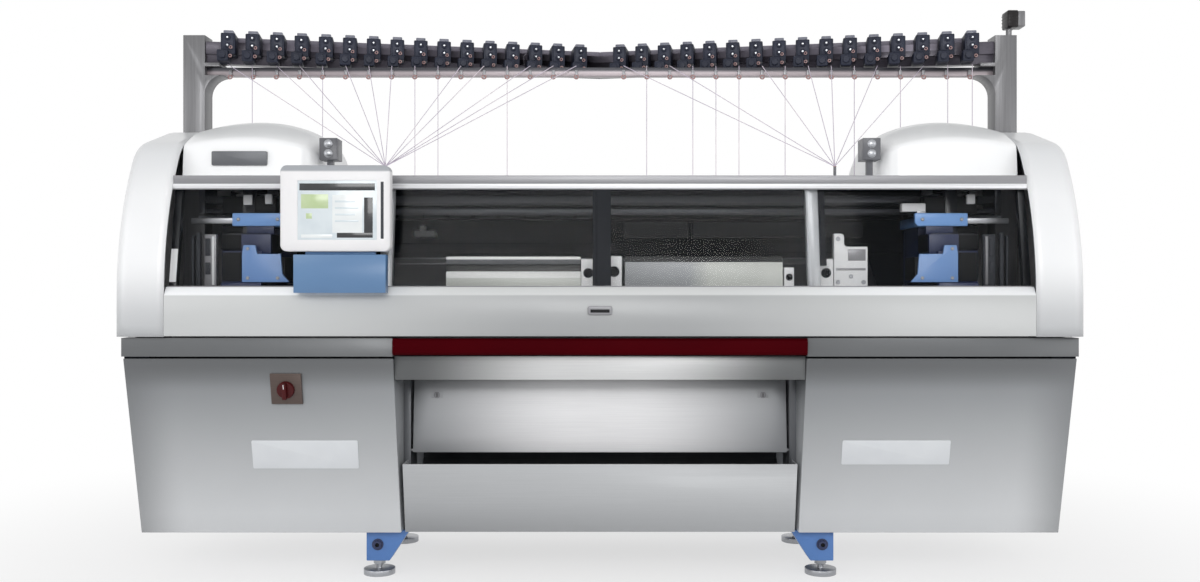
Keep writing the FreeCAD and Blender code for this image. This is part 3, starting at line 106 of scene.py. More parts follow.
class Finish(Tree):
    """A procedural material built round one Principled shader. Colours run from 0 to 255."""

    def __init__(self, name, colour, rough=0.4, metal=0.0, specular=0.5, coat=0.0, coat_rough=0.1):
        self.material = bpy.data.materials.new(name)
        self.material.use_nodes = True
        super().__init__(self.material.node_tree)
        self.shader = self.nodes["Principled BSDF"]
        self.colour = linear(colour)
        self.normal = None
        self.set(Base_Color=self.colour, Roughness=rough, Metallic=metal, Specular_IOR_Level=specular,
                 Coat_Weight=coat, Coat_Roughness=coat_rough)
        self.place = self.add("ShaderNodeTexCoord").outputs["Object"]

    def set(self, **values):
        """Constant values on the shader's own sockets."""
        for key, value in values.items():
            self.shader.inputs[key.replace("_", " ")].default_value = value
        return self

    def noise(self, scale, detail=3.0, stretch=(1, 1, 1)):
        """Noise over the piece; a stretch below 1 draws it out along that axis."""
        spread = self.add("ShaderNodeMapping", Vector=self.place, Scale=stretch)
        return self.add("ShaderNodeTexNoise", Vector=spread.outputs[0], Scale=scale,
                        Detail=detail).outputs["Fac"]

    def axis(self, letter):
        return self.add("ShaderNodeSeparateXYZ", Vector=self.place).outputs[letter.upper()]

    def ramp(self, value, start, end, low=0.0, high=1.0, smooth=False):
        """A value carried from one range to another."""
        node = self.add("ShaderNodeMapRange", Value=value, From_Min=start, From_Max=end, To_Min=low,
                        To_Max=high)
        node.interpolation_type = "SMOOTHSTEP" if smooth else "LINEAR"
        return node.outputs["Result"]

    def away(self):
        """The distance from the middle of the machine along X."""
        return self.math("ABSOLUTE", self.axis("x"))

    def tint(self, colour, share):
        """Lay another colour over the present one, by a share."""
        node = self.nodes.new("ShaderNodeMix")
        node.data_type = "RGBA"
        for key, value in (("Factor", share), ("A", self.colour), ("B", linear(colour))):
            self.put(node.inputs[key], value)
        self.colour = node.outputs["Result"]
        self.links.new(self.colour, self.shader.inputs["Base Color"])
        return self

    def gloss(self, low, high, scale=6.0, stretch=(1, 1, 1)):
        """Roughness that wanders between two values."""
        self.put(self.shader.inputs["Roughness"],
                 self.ramp(self.noise(scale, 4.0, stretch), 0.3, 0.7, low, high))
        return self

    def bump(self, value, distance, strength=1.0):
        node = self.add("ShaderNodeBump", Height=value, Distance=distance, Strength=strength)
        if self.normal is not None:
            self.links.new(self.normal, node.inputs["Normal"])
        self.normal = node.outputs["Normal"]
        self.links.new(self.normal, self.shader.inputs["Normal"])
        return self


def coated(name, light, dark, rough=(0.34, 0.46), metal=0.0, coat=0.15, specular=0.5):
    """Powder coat: two near colours in clouds, a fine peel and a little dust."""
    finish = Finish(name, light, metal=metal, coat=coat, coat_rough=0.25, specular=specular)
    finish.tint(dark, finish.ramp(finish.noise(2.2, 5.0), 0.35, 0.75, 0.0, 0.55))
    finish.tint(dark, finish.ramp(finish.noise(420.0, 2.0), 0.55, 0.8, 0.0, 0.5))
    finish.gloss(*rough, scale=5.0)
    return finish.bump(finish.noise(650.0, 2.0), 0.00006)


def brushed(name, light, dark, along, rough=(0.28, 0.42), metal=0.9):
    """Metal sheet with fine lines drawn along one axis."""
    stretch = tuple(0.012 if letter == along else 1.0 for letter in "xyz")
    finish = Finish(name, light, metal=metal, specular=0.5)
    finish.tint(dark, finish.ramp(finish.noise(380.0, 3.0, stretch), 0.3, 0.75, 0.0, 0.6))
    finish.tint(dark, finish.ramp(finish.noise(1.6, 4.0), 0.4, 0.8, 0.0, 0.4))
    finish.gloss(*rough, scale=160.0, stretch=stretch)
    return finish.bump(finish.noise(900.0, 2.0, stretch), 0.00003)


def moulded(name, light, dark, rough=(0.38, 0.52), coat=0.0, specular=0.5):
    """Moulded plastic with a fine even grain."""
    finish = Finish(name, light, coat=coat, specular=specular)
    finish.tint(dark, finish.ramp(finish.noise(9.0, 4.0), 0.35, 0.75, 0.0, 0.5))
    finish.gloss(*rough, scale=12.0)
    return finish.bump(finish.noise(1400.0, 1.0), 0.00008)


def by_height(finish, colour, low, high, most):
    """Tint a finish from none at one height to the most at another."""
    finish.tint(colour, finish.ramp(finish.axis("z"), low, high, 0.0, most, smooth=True))


def across(finish, colour, inner, outer, most):
    """Tint a finish from none near the middle to the most towards the ends."""
    finish.tint(colour, finish.ramp(finish.away(), inner, outer, 0.0, most, smooth=True))


def where(finish, colour, letter, start, end):
    """Change a finish to another colour past a place along an axis."""
    finish.tint(colour, finish.ramp(finish.axis(letter), start, end))


def above(finish, colour, start, end, inner, outer, low=0.0, high=1.0, smooth=False):
    """Tint a finish above a height only, by how far it is from the middle of the machine."""
    finish.tint(colour, finish.both(finish.ramp(finish.axis("z"), start, end),
                                    finish.ramp(finish.away(), inner, outer, low, high, smooth)))


WHITE = coated("shell_white", (238, 239, 240), (228, 229, 231), (0.3, 0.4), coat=0.3)
# Painted shade on the white: darker towards the foot below 1.25 m, and greyer from 1.46 m up, where less
# light falls.
by_height(WHITE, (186, 188, 190), 1.25, 0.97, 1.0)
by_height(WHITE, (212, 214, 216), 1.46, 1.68, 0.7)
# The white front cover is painted grey and darkest in the middle: a painted dark reflection. Above 1.108 m
# the sill is painted lighter, most towards the ends: painted light.
FRONT_COVER = coated("front_cover_white", (158, 160, 161), (150, 152, 154), (0.3, 0.4), coat=0.3)
across(FRONT_COVER, (193, 195, 195), 0.2, 1.3, 1.0)
where(FRONT_COVER, (202, 204, 204), "z", 1.108, 1.113)
above(FRONT_COVER, (236, 238, 240), 1.108, 1.113, 0.45, 1.25, smooth=True)
DOME = coated("dome_white", (246, 247, 248), (240, 241, 242), (0.28, 0.38), coat=0.35)
# Painted shade: the tops of the domes, above 1.7 m, greyer than their fronts.
by_height(DOME, (224, 226, 227), 1.7, 1.76, 1.0)
CABINET = coated("cabinet_silver", (208, 210, 212), (199, 201, 203), metal=0.25)
# Painted shade and reflection: the cabinets darker towards the top and their outer ends, lighter low down
# where the sloping fronts reflect the floor.
where(CABINET, (126, 129, 132), "z", 0.26, 0.8)
by_height(CABINET, (94, 96, 98), 0.74, 0.85, 1.0)
across(CABINET, (96, 98, 101), 1.6, 1.84, 0.6)
BAND = coated("band_grey", (100, 102, 104), (90, 92, 94), metal=0.3)
RED = coated("rod_red", (68, 1, 8), (50, 1, 6), (0.5, 0.62), coat=0.0, specular=0.02)
KNOB_RED = coated("knob_red", (70, 9, 12), (54, 7, 9), (0.35, 0.45), coat=0.0, specular=0.25)
BLUE = coated("machine_blue", (92, 128, 168), (76, 112, 152), (0.3, 0.42), coat=0.2)
FOOT_BLUE = coated("foot_blue", (80, 124, 186), (64, 104, 164), (0.3, 0.42), coat=0.3)
# Painted light: the carriage blue is set lighter than it is, and lighter still above 1.34 m, against the
# shade inside the hood.
CARRIAGE = coated("carriage_blue", (116, 156, 212), (98, 138, 198), (0.3, 0.42), coat=0.3)
where(CARRIAGE, (128, 176, 240), "z", 1.34, 1.37)
DEEP_BLUE = coated("deep_blue", (34, 46, 84), (24, 32, 62), (0.35, 0.5))
# The bow blue is set lighter as painted light against the hood's shade. Above 1.43 m the grey is the steel
# bar's own colour; the front part, ahead of -0.046 m, is painted near-black as painted shade.
BOW = coated("bow_blue", (124, 166, 222), (104, 146, 206), (0.3, 0.42), coat=0.3)
where(BOW, (196, 200, 208), "z", 1.4295, 1.4305)
where(BOW, (16, 18, 26), "y", -0.04, -0.046)
COVER_SHEET = brushed("take_down_sheet", (232, 232, 233), (218, 218, 220), "x", metal=0.25)
# Painted reflection: the take-down sheet bright in the middle, darker towards the ends.
across(COVER_SHEET, (152, 154, 157), 0.12, 0.76, 1.0)
HEADER = brushed("header_sheet", (204, 205, 205), (190, 191, 192), "x", metal=0.25)
# Painted reflection: the header bright in the middle, darker towards the ends.
across(HEADER, (88, 90, 91), 0.15, 0.72, 1.0)
LOWER_SHEET = brushed("lower_sheet", (182, 184, 186), (172, 174, 176), "x", (0.42, 0.55), metal=0.15)
by_height(LOWER_SHEET, (172, 174, 176), 0.34, 0.2, 0.8)
FRAME = coated("frame_grey", (92, 94, 98), (74, 76, 80), metal=0.3)
STAND = brushed("stand_grey", (124, 124, 126), (92, 92, 94), "z", metal=0.45)
UNIT_RAIL = brushed("unit_rail_grey", (92, 88, 98), (64, 60, 70), "x", metal=0.3)
# Painted light: the upper part of the rail, above 2.15 m, lighter against the shade it lies in, except near
# the ends.
above(UNIT_RAIL, (158, 152, 166), 2.15, 2.154, 1.38, 1.46, 1.0, 0.0)
DUCT = moulded("duct_grey", (128, 124, 136), (112, 108, 120), (0.45, 0.6), specular=0.3)
GUIDE = brushed("guide_rail_pale", (166, 157, 160), (138, 128, 133), "x", metal=0.35)
where(GUIDE, (54, 54, 60), "z", 2.05, 2.06)
STEEL = brushed("machined_steel", (178, 180, 184), (140, 142, 147), "x", metal=0.85)
RAIL_DARK = brushed("rail_dark", (88, 90, 96), (62, 64, 70), "x", metal=0.5)
LINER_MID = coated("liner_mid", (68, 70, 75), (54, 56, 60), (0.5, 0.62), coat=0.0, specular=0.15)
LINER = coated("liner_dark", (16, 19, 26), (9, 11, 17), (0.55, 0.7), coat=0.0, specular=0.06)
STILE = coated("stile_grey", (38, 40, 44), (30, 32, 35), (0.5, 0.62), coat=0.0, specular=0.1)
TRIM = brushed("trim_grey", (141, 141, 144), (129, 129, 133), "x", metal=0.3)
BRIGHT = brushed("bright_trim", (224, 225, 227), (210, 211, 214), "x", (0.24, 0.36), metal=0.15)
POST_TRIM = brushed("post_trim", (196, 199, 202), (176, 179, 183), "z", metal=0.3)
# Painted shade: the end posts, past 1.2 m from the middle, painted near-black.
across(POST_TRIM, (26, 28, 32), 1.2, 1.3, 1.0)
PLASTIC = moulded("white_plastic", (232, 233, 234), (220, 222, 225), coat=0.1)
HOUSING = moulded("panel_housing", (232, 231, 232), (224, 224, 226), coat=0.1)
# Painted shade: the top edge of the housing, above 1.564 m, greyer.
where(HOUSING, (160, 163, 168), "z", 1.564, 1.57)
PLATE = moulded("blank_plate", (214, 217, 220), (204, 207, 211), coat=0.1)
UNIT = moulded("unit_plastic", (34, 38, 54), (22, 25, 36), (0.4, 0.55), specular=0.25)
UNIT_FACE = moulded("unit_face", (42, 46, 62), (30, 34, 46), (0.35, 0.5), specular=0.25)
UNIT_CAP = moulded("unit_cap", (112, 114, 128), (88, 90, 104), (0.3, 0.45))
TENSION = moulded("tension_grey", (98, 99, 104), (76, 77, 82), (0.3, 0.45))
BLACK = moulded("black_rubber", (22, 23, 25), (13, 14, 15), (0.5, 0.7), specular=0.2)
CERAMIC = moulded("ceramic_pink", (168, 136, 134), (146, 112, 112), (0.18, 0.3), coat=0.4)
LAMP = moulded("lamp_dark", (28, 25, 26), (20, 18, 19), (0.3, 0.4), coat=0.1, specular=0.2)
SWITCH = brushed("switch_plate", (88, 74, 68), (70, 58, 54), "x", metal=0.2)


def bed_finish():
    """Ground steel with the needle slots across it."""
    finish = brushed("needle_bed_steel", (170, 172, 176), (132, 134, 140), "y", metal=0.95)
    slot = finish.math("PINGPONG", finish.axis("x"), NEEDLE_PITCH / 2)
    groove = finish.ramp(slot, 0.0006, 0.0012)
    # Painted shade: the needle slots are painted dark.
    finish.tint((52, 54, 58), finish.ramp(groove, 0.0, 1.0, 0.75, 0.0))
    return finish.bump(groove, 0.0006)


def slotted_cover():
    """The pale bed covers: the left one has white bands, a dark seal and a deep slot."""
    finish = moulded("slotted_cover", (208, 211, 206), (194, 197, 192))
    x, y, z = (finish.axis(letter) for letter in "xyz")
    left = finish.ramp(x, 0.0, 0.01, 1.0, 0.0)
    right = finish.ramp(x, 0.0, 0.01)

    def band(low, high, side):
        return finish.both(side, finish.both(finish.ramp(z, low - 0.0005, low + 0.0005),
                                             finish.ramp(z, high - 0.0005, high + 0.0005, 1.0, 0.0)))

    finish.tint((236, 237, 236), band(1.176, 1.3, left))
    finish.tint((72, 74, 77), band(1.209, 1.247, left))
    finish.tint((170, 173, 176), finish.both(right, finish.ramp(x, 0.34, 0.42, 1.0, 0.0)))
    finish.tint((24, 26, 28), band(1.2365, 1.3, right))
    # Painted shade: the inside of the deep slot painted near-black.
    deep = finish.ramp(y, FRONT + 0.114, FRONT + 0.119)
    return finish.tint((26, 27, 28), finish.both(deep, band(1.1995, 1.228, left)))


def glazing():
    """Clear sheet: thin, a little grey, with faint smears."""
    finish = Finish("clear_glazing", (26, 29, 32), rough=0.05, specular=0.4)
    finish.tint((44, 48, 52), finish.ramp(finish.noise(3.0, 4.0), 0.4, 0.8, 0.0, 0.6))
    return finish.gloss(0.03, 0.09, scale=3.5).set(Alpha=0.08)


def yarn_finish():
    """Pale twisted thread: slanting plies and a soft nap."""
    finish = Finish("yarn_pale", (200, 192, 208), rough=0.85, specular=0.2).set(Sheen_Weight=0.4)
    turns = finish.math("PINGPONG", finish.math("ADD", finish.axis("z"), finish.axis("x")), 0.0022)
    finish.tint((176, 162, 178), finish.ramp(turns, 0.0004, 0.0018, 0.0, 0.8))
    finish.tint((226, 214, 220), finish.ramp(finish.noise(5.0, 2.0), 0.45, 0.7, 0.0, 0.8))
    return finish.bump(turns, 0.0002)


def screen_finish(name, colour, second, strength):
    """A lit display field, a little uneven like a real backlight."""
    finish = Finish(name, colour, rough=0.25, coat=0.6)
    finish.tint(second, finish.ramp(finish.noise(14.0, 2.0), 0.4, 0.7, 0.0, 0.6))
    finish.put(finish.shader.inputs["Emission Color"], finish.colour)
    return finish.set(Emission_Strength=strength)


BED = bed_finish()
SLOTTED = slotted_cover()
GLASS = glazing()
YARN = yarn_finish()
SCREEN_PALE = screen_finish("screen_pale", (196, 204, 208), (180, 190, 196), 0.2)
SCREEN_DARK = screen_finish("screen_dark", (18, 20, 24), (34, 38, 44), 0.05)
SCREEN_GREEN = screen_finish("screen_green", (168, 186, 140), (186, 198, 164), 0.15)
SCREEN_WHITE = screen_finish("screen_white", (216, 220, 220), (204, 208, 210), 0.15)


# ---- mesh kit

class Shape:
    """Collects the points and faces of one piece; each face has the number of its finish."""

    def __init__(self):
        self.points, self.faces, self.paint = [], [], []

    def add(self, points, faces, paint=0, place=None):
        start = len(self.points)
        self.points += [tuple(place @ Vector(p)) if place else tuple(p) for p in points]
        self.faces += [tuple(start + corner for corner in face) for face in faces]
        self.paint += [paint] * len(faces)
        return self

    def take(self, bm, paint=0, place=None):
        bm.verts.index_update()
        self.add([v.co for v in bm.verts], [[v.index for v in f.verts] for f in bm.faces], paint, place)
        bm.free()
        return self

    def box(self, low, high, edge=0.002, paint=0, place=None, steps=2):
        """A block with rounded edges between two corners."""
        bm = bmesh.new()
        bmesh.ops.create_cube(bm, size=1)
        size = [b - a for a, b in zip(low, high)]
        for vert in bm.verts:
            vert.co = Vector([a + (c + 0.5) * s for a, c, s in zip(low, vert.co, size)])
        round_edges(bm, min(edge, min(size) * 0.45), steps)
        return self.take(bm, paint, place)

    def prism(self, corners, low, high, axis="x", edge=0.0, paint=0, place=None, steps=2):
        """A closed outline carried along an axis. Corners are (Y, Z), (X, Z) or (X, Y)."""
        bm = bmesh.new()
        k = "xyz".index(axis)
        lower, upper = ([bm.verts.new((*c[:k], height, *c[k:])) for c in corners] for height in (low, high))
        for face in (lower, upper, *zip(lower, lower[1:] + lower[:1], upper[1:] + upper[:1], upper)):
            bm.faces.new(face)
        bmesh.ops.recalc_face_normals(bm, faces=bm.faces)
        if edge:
            round_edges(bm, edge, steps)
        return self.take(bm, paint, place)

    def blocks(self, rows, side=1, middle=0.0):
        """Blocks by X, depth, height, edge and finish. Side -1 mirrors them."""
        for x0, x1, near, far, low, high, edge, paint in rows:
            left, right = sorted((middle + side * x0, middle + side * x1))
            self.box((left, FRONT + near, low), (right, FRONT + far, high), edge, paint)

    def lathe(self, profile, place, sides=20, paint=0):
        """Turn a profile of (radius, height) round the Z axis of a place."""
        points, faces, rows = [], [], []
        for radius, height in profile:
            row = [(radius * x, radius * y, height) for x, y in circle(sides)] if radius else [(0, 0, height)]
            rows.append(range(len(points), len(points) + len(row)))
            points += row
        for lower, upper in zip(rows, rows[1:]):
            for k in range(sides):
                ring = [row[n % len(row)]
                        for row, n in ((lower, k), (lower, k + 1), (upper, k + 1), (upper, k))]
                faces.append(tuple(dict.fromkeys(ring)))
        return self.add(points, faces, paint, place)

    def tube(self, path, radius, sides):
        """A round bar along points, closed at both ends."""
        path = [Vector(p) for p in path]
        last = len(path) - 1
        points = []
        for k, point in enumerate(path):
            ahead = (path[min(k + 1, last)] - path[max(k - 1, 0)]).normalized()
            side = (side - ahead * side.dot(ahead) if k else ahead.orthogonal()).normalized()
            over = ahead.cross(side)
            points += [point + radius * (side * cosine + over * sine) for cosine, sine in circle(sides)]
        faces = grid(len(path), sides, True)
        faces += [tuple(reversed(range(sides))), tuple(range(last * sides, len(path) * sides))]
        return self.add(points, faces)

    def make(self, name, finishes, slot, replaces=(), body=MAIN, angle=38):
        """Put the finished piece into the scene, on its body."""
        mesh = bpy.data.meshes.new(name)
        mesh.from_pydata(self.points, [], self.faces)
        mesh.validate()
        for finish in finishes:
            mesh.materials.append(finish.material)
        mesh.polygons.foreach_set("material_index", self.paint)
        mesh.shade_smooth()
        mesh.set_sharp_from_angle(angle=radians(angle))
        piece = linked(name, mesh)
        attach(piece, body)
        if replaces:
            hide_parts(*replaces)
        return piece


def linked(name, data):
    """A new object in the scene."""
    thing = bpy.data.objects.new(name, data)
    bpy.context.scene.collection.objects.link(thing)
    return thing


def circle(sides):
    """The cosine and sine of equal steps round a circle."""
    return [(cos(2 * pi * k / sides), sin(2 * pi * k / sides)) for k in range(sides)]


def grid(rows, count, ring=False):
    """Quads between rows of points; a ring joins the last point to the first."""
    return [(row + k, row + (k + 1) % count, row + count + (k + 1) % count, row + count + k)
            for row in range(0, (rows - 1) * count, count) for k in range(count if ring else count - 1)]


def round_edges(bm, size, steps, angle=30):
    """Round every edge of a mesh that turns by more than an angle."""
    sharp = [e for e in bm.edges if len(e.link_faces) == 2 and e.calc_face_angle(0) > radians(angle)]
    bmesh.ops.bevel(bm, geom=sharp, offset=size, segments=steps, profile=0.5, affect="EDGES",
                    clamp_overlap=True)


def at(x, y, z):
    return Matrix.Translation((x, y, z))


def facing(x, y, z, direction):
    """A place whose Z axis points along a direction."""
    return at(x, y, z) @ Vector(direction).to_track_quat("Z", "Y").to_matrix().to_4x4()


def forward(x, depth, z):
    """A place at a depth, whose Z axis points to the viewer."""
    return facing(x, FRONT + depth, z, (0, -1, 0))


def rounded(corners, radii, steps=6):
    """An outline whose corners are rounded by the radius given for each."""
    result = []
    for k, (corner, radius) in enumerate(zip(corners, radii)):
        if radius <= 0:
            result.append(corner)
            continue
        before, here, after = (Vector(corners[n % len(corners)]) for n in (k - 1, k, k + 1))
        inward, outward = (before - here).normalized(), (after - here).normalized()
        half = inward.angle(outward) / 2
        reach = radius / tan(half)
        hub = here + (inward + outward).normalized() * (radius / sin(half))
        first, last = here + inward * reach - hub, here + outward * reach - hub
        swing = first.angle_signed(last)
        for n in range(steps + 1):
            turn = -swing * n / steps
            result.append((hub.x + first.x * cos(turn) - first.y * sin(turn),
                           hub.y + first.x * sin(turn) + first.y * cos(turn)))
    return result


def oblong(left, right, low, high, radius, steps=6):
    """An oblong outline with four equal round corners."""
    return rounded([(left, low), (right, low), (right, high), (left, high)], [radius] * 4, steps)


def dress(finish, edge, names):
    """Give CAD nodes a finish, and round their edges."""
    for name in names.split():
        node = NODES[name]
        node.data.materials.clear()
        node.data.materials.append(finish.material)
        node.data.shade_smooth()
        if edge:
            node.modifiers.new("weld", "WELD").merge_threshold = 0.00001
            soft = node.modifiers.new("soft_edges", "BEVEL")
            soft.width, soft.segments = edge, 2
            soft.limit_method, soft.angle_limit = "ANGLE", radians(38)
            soft.harden_normals = True


def built(build):
    """Build a single piece at once, from an empty shape."""
    build(Shape())


# ---- camera: level, and 4 m in front of the hood as in the photo

SENSOR, FOCAL_PIXELS, PHOTO_WIDTH, EYE_HEIGHT = 36.0, 1073, 1200, 1.126
camera_data = bpy.data.cameras.new("camera")
camera_data.sensor_width = SENSOR
camera_data.lens = SENSOR * FOCAL_PIXELS / PHOTO_WIDTH
camera = linked("camera", camera_data)
camera.location = (0, FRONT - 4.0, EYE_HEIGHT)
camera.rotation_euler = (radians(90), 0, 0)
bpy.context.scene.camera = camera


# ---- CAD nodes with their finishes

for row in ((FRONT_COVER, 0.003, "lower_front_cover"), (DOME, 0.002, "rear_hood_cover top_deck"),
            (BRIGHT, 0.0015, "hood_flange"), (TRIM, 0.0008, "hood_strip door_tracks"),
            (CABINET, 0.003, "left_cabinet right_cabinet"), (CABINET, 0.002, "back_panels"),
            (BAND, 0.0015, "header_rails"), (HEADER, 0.0015, "header_panel"),
            (COVER_SHEET, 0.0015, "take_down_cover"), (LOWER_SHEET, 0.0015, "lower_panel"),
            (STEEL, 0.0, "fabric_chute"), (BLACK, 0.001, "take_down_roller presser_roller"),
            (FRAME, 0.0015, "frame_sides frame_beams electric_units needle_bed_bases"),
            (RED, 0.002, "engaging_rod"), (FOOT_BLUE, 0.003, "foot_brackets"), (BLUE, 0.003, "panel_stand"),
            (STEEL, 0.001, "levelling_feet roller_bearings left_yarn_feeder right_yarn_feeder"),
            (RAIL_DARK, 0.001, "feeder_rails carriage_rails rail_hangers"),
            (BED, 0.0006, "front_needle_bed rear_needle_bed"), (SWITCH, 0.002, "main_switch_plate"),
            (STAND, 0.002, "stand_posts"), (UNIT_RAIL, 0.002, "unit_rails"), (GUIDE, 0.002, "guide_rail"),
            (GLASS, 0.0, "side_windows left_door right_door"), (POST_TRIM, 0.001, "window_posts"),
            (BOW, 0.004, "left_carriage_bow right_carriage_bow"),
            (DEEP_BLUE, 0.004, "left_cam_boxes right_cam_boxes"), (SLOTTED, 0.003, "bed_covers"),
            (PLASTIC, 0.003, "bed_clamps"), (TENSION, 0.002, "yarn_tensioners")):
    dress(*row)


# ---- moulded covers

HANDS = {-1: "left", 1: "right"}
HALF, SIDE_WIDE = 1.822, 0.194
SHELL_FOOT, SHOULDER, BACK = 0.955, 1.7, FRONT + 0.955
ARC_RADIUS, ARC_HEIGHT = 1.1, 1.1
DECK, PEAK = 1.561, 1.822


def deck_height(depth):
    """The top of the sloping deck at a depth behind the front."""
    return DECK + (depth - 0.092) * (1.638 - DECK) / (0.9 - 0.092)


def side_outline():
    """The arch of an end cover as (Y, Z), from the low front corner round to the back."""
    rise = asin((SHOULDER - ARC_HEIGHT) / ARC_RADIUS)
    front = [(FRONT + ARC_RADIUS * (1 - cos(rise * k / 26)), ARC_HEIGHT + ARC_RADIUS * sin(rise * k / 26))
             for k in range(27)]
    upper = rounded([front[-4], front[-1], (FRONT + 0.52, 1.806), (BACK, SHOULDER), (BACK, SHELL_FOOT)],
                    [0, 0.15, 0.4, 0.12, 0], 12)
    return ([(FRONT, z) for z in (SHELL_FOOT, 1.0, 1.05)] + front[:-3] + upper[1:-1]
            + [(BACK, z) for z in (1.45, 1.25, 1.1)] + upper[-1:])


def shrink(outline, amount):
    """The outline drawn in square to itself, with both ends kept at the foot."""
    result = []
    for k, point in enumerate(outline):
        here = Vector(point)
        near = outline[max(k - 1, 0):k + 2]
        steps = [Vector(after) - Vector(before) for before, after in zip(near, near[1:])]
        normals = [Vector((step.y, -step.x)).normalized() for step in steps]
        middle = sum(normals, Vector((0, 0))).normalized()
        result.append(tuple(here + middle * amount / max(0.5, middle.dot(normals[0]))))
    result[0] = (result[0][0], SHELL_FOOT)
    result[-1] = (result[-1][0], SHELL_FOOT)
    return result


def side_shell(side):
    """An end cover: the arch, a rim that rounds into the flat end, and its wall."""
    outline, radius = side_outline(), 0.055
    rings = [(HALF - SIDE_WIDE, 0.0), (HALF - SIDE_WIDE + 0.03, 0.0)]
    rings += [(HALF - radius + radius * sin(radians(a)), radius * (1 - cos(radians(a))))
              for a in range(0, 91, 15)]
    rings += [(HALF, 0.075), (HALF, 0.1)]
    count = len(outline)
    points = [(side * x, y, z) for x, inset in rings for y, z in shrink(outline, inset)]
    faces = grid(len(rings), count) + [tuple(range((len(rings) - 1) * count, len(rings) * count))]
    shell = cover_piece(points, faces, f"{HANDS[side]}_side_shell", WHITE, f"{HANDS[side]}_side_cover")
    wall = shell.modifiers.new("wall", "SOLIDIFY")
    wall.thickness, wall.offset = 0.008, -1


def cover_piece(points, faces, name, finish, replaced, angle=38):
    """A moulded cover for a CAD cover, with its faces turned outwards."""
    piece = Shape().add(points, faces).make(name, [finish], "cover_white", [replaced], angle=angle)
    bm = bmesh.new()
    bm.from_mesh(piece.data)
    bmesh.ops.recalc_face_normals(bm, faces=bm.faces)
    middle = sum((v.co for v in bm.verts), Vector()) / len(bm.verts)
    if sum(f.normal.dot(f.calc_center_median() - middle) * f.calc_area() for f in bm.faces) < 0:
        bmesh.ops.reverse_faces(bm, faces=bm.faces)
    bm.to_mesh(piece.data)
    bm.free()
    return piece


def top_shell(side):
    """A domed cover: side profiles set along X, lower and further back towards the inner end."""
    outer, ridge, inner, corner = 1.626, 1.372, 1.102, 0.11
    front, rear = 0.178, 0.76

    def height(x):
        drop, run = (0.042, outer - ridge) if x > ridge else (0.078, ridge - inner)
        return PEAK - drop * (abs(x - ridge) / run) ** 2

    profile = rounded([(front, deck_height(front)), (0.19, 1.722), (0.33, 1.806), (0.45, PEAK),
                       (0.64, 1.806), (0.757, 1.72), (rear, deck_height(rear))],
                      [0, 0.04, 0.15, 0.3, 0.15, 0.04, 0], 5)
    xs = [inner + corner * (1 - cos(radians(a))) for a in range(0, 91, 10)]
    xs += [inner + corner + (outer - inner - corner) * k / 12 for k in range(1, 13)]
    points, rows = [], len(profile)
    for x in xs:
        scale = (height(x) - DECK) / (PEAK - DECK)
        away = max(0.0, inner + corner - x)
        back_off = corner - sqrt(max(0.0, corner ** 2 - away ** 2))
        drop = 0.035 * (1 - sqrt(max(0.0, 1 - (away / corner) ** 2))) ** 1.5
        for depth, z in profile:
            y = FRONT + max(depth, front + back_off + (depth - front) * 0.6 if depth < 0.45 else depth)
            low = (z - DECK) / (PEAK - DECK) < 0.15
            points.append((side * x, y, deck_height(depth) if low else DECK + (z - DECK) * scale - drop))
    faces = [(a, d, c, b) for a, b, c, d in grid(len(xs), rows)]
    faces += [tuple(range(rows)), tuple(reversed(range((len(xs) - 1) * rows, len(xs) * rows)))]
    shell = cover_piece(points, faces, f"{HANDS[side]}_top_shell", DOME, f"{HANDS[side]}_top_cover", 50)
    soft = shell.modifiers.new("soft_edges", "BEVEL")
    soft.width, soft.segments, soft.angle_limit = 0.006, 3, radians(50)


for hand in HANDS:
    side_shell(hand)
    top_shell(hand)


@built
def arch_webs(shape):
    """Pale sheets that close the end covers towards the domes, behind the ridge."""
    start, foot = FRONT + 0.5, 1.6
    arch = [(y, z) for y, z in shrink(side_outline(), 0.0088) if y > start and z > foot + 0.01]
    outline = [(start, foot), (start, arch[0][1])] + arch + [(arch[-1][0], foot)]
    for side in HANDS:
        shape.prism(outline, *sorted((side * 1.6285, side * 1.6315)))
    shape.make("arch_webs", [DOME], "cover_white")


CABINET_SLOPE = (0.2 - 0.036) / (0.872 - 0.18)
CABINET_LEAN = atan(CABINET_SLOPE)


def face_y(z):
    """The front of the sloping cabinets at a height."""
    return FRONT + 0.036 + (0.872 - z) * CABINET_SLOPE


def sloping_plate(name, x0, x1, z0, z1):
    """A thin blank plate with rounded corners on a cabinet front."""
    half_x, half_z = (x1 - x0) / 2, (z1 - z0) / 2 / cos(CABINET_LEAN)
    middle = (z0 + z1) / 2
    place = at((x0 + x1) / 2, face_y(middle), middle) @ Matrix.Rotation(CABINET_LEAN, 4, "X")
    shape = Shape().prism(oblong(-half_x, half_x, -half_z, half_z, 0.006, 4), -0.0025, 0.0003, axis="y",
                          edge=0.0008, place=place)
    shape.make(name, [PLATE], "plastic_white")


sloping_plate("left_blank_plate", -1.336, -0.929, 0.442, 0.554)
sloping_plate("right_blank_plate", 0.929, 1.344, 0.458, 0.554)


@built
def top_plate(shape):
    """The dark blank plate on the left top cover."""
    shape.prism(oblong(-1.511, -1.296, 1.615, 1.67, 0.005, 4), FRONT + 0.172, FRONT + 0.186, "y", 0.001)
    shape.make("top_cover_plate", [FRAME], "frame_steel")


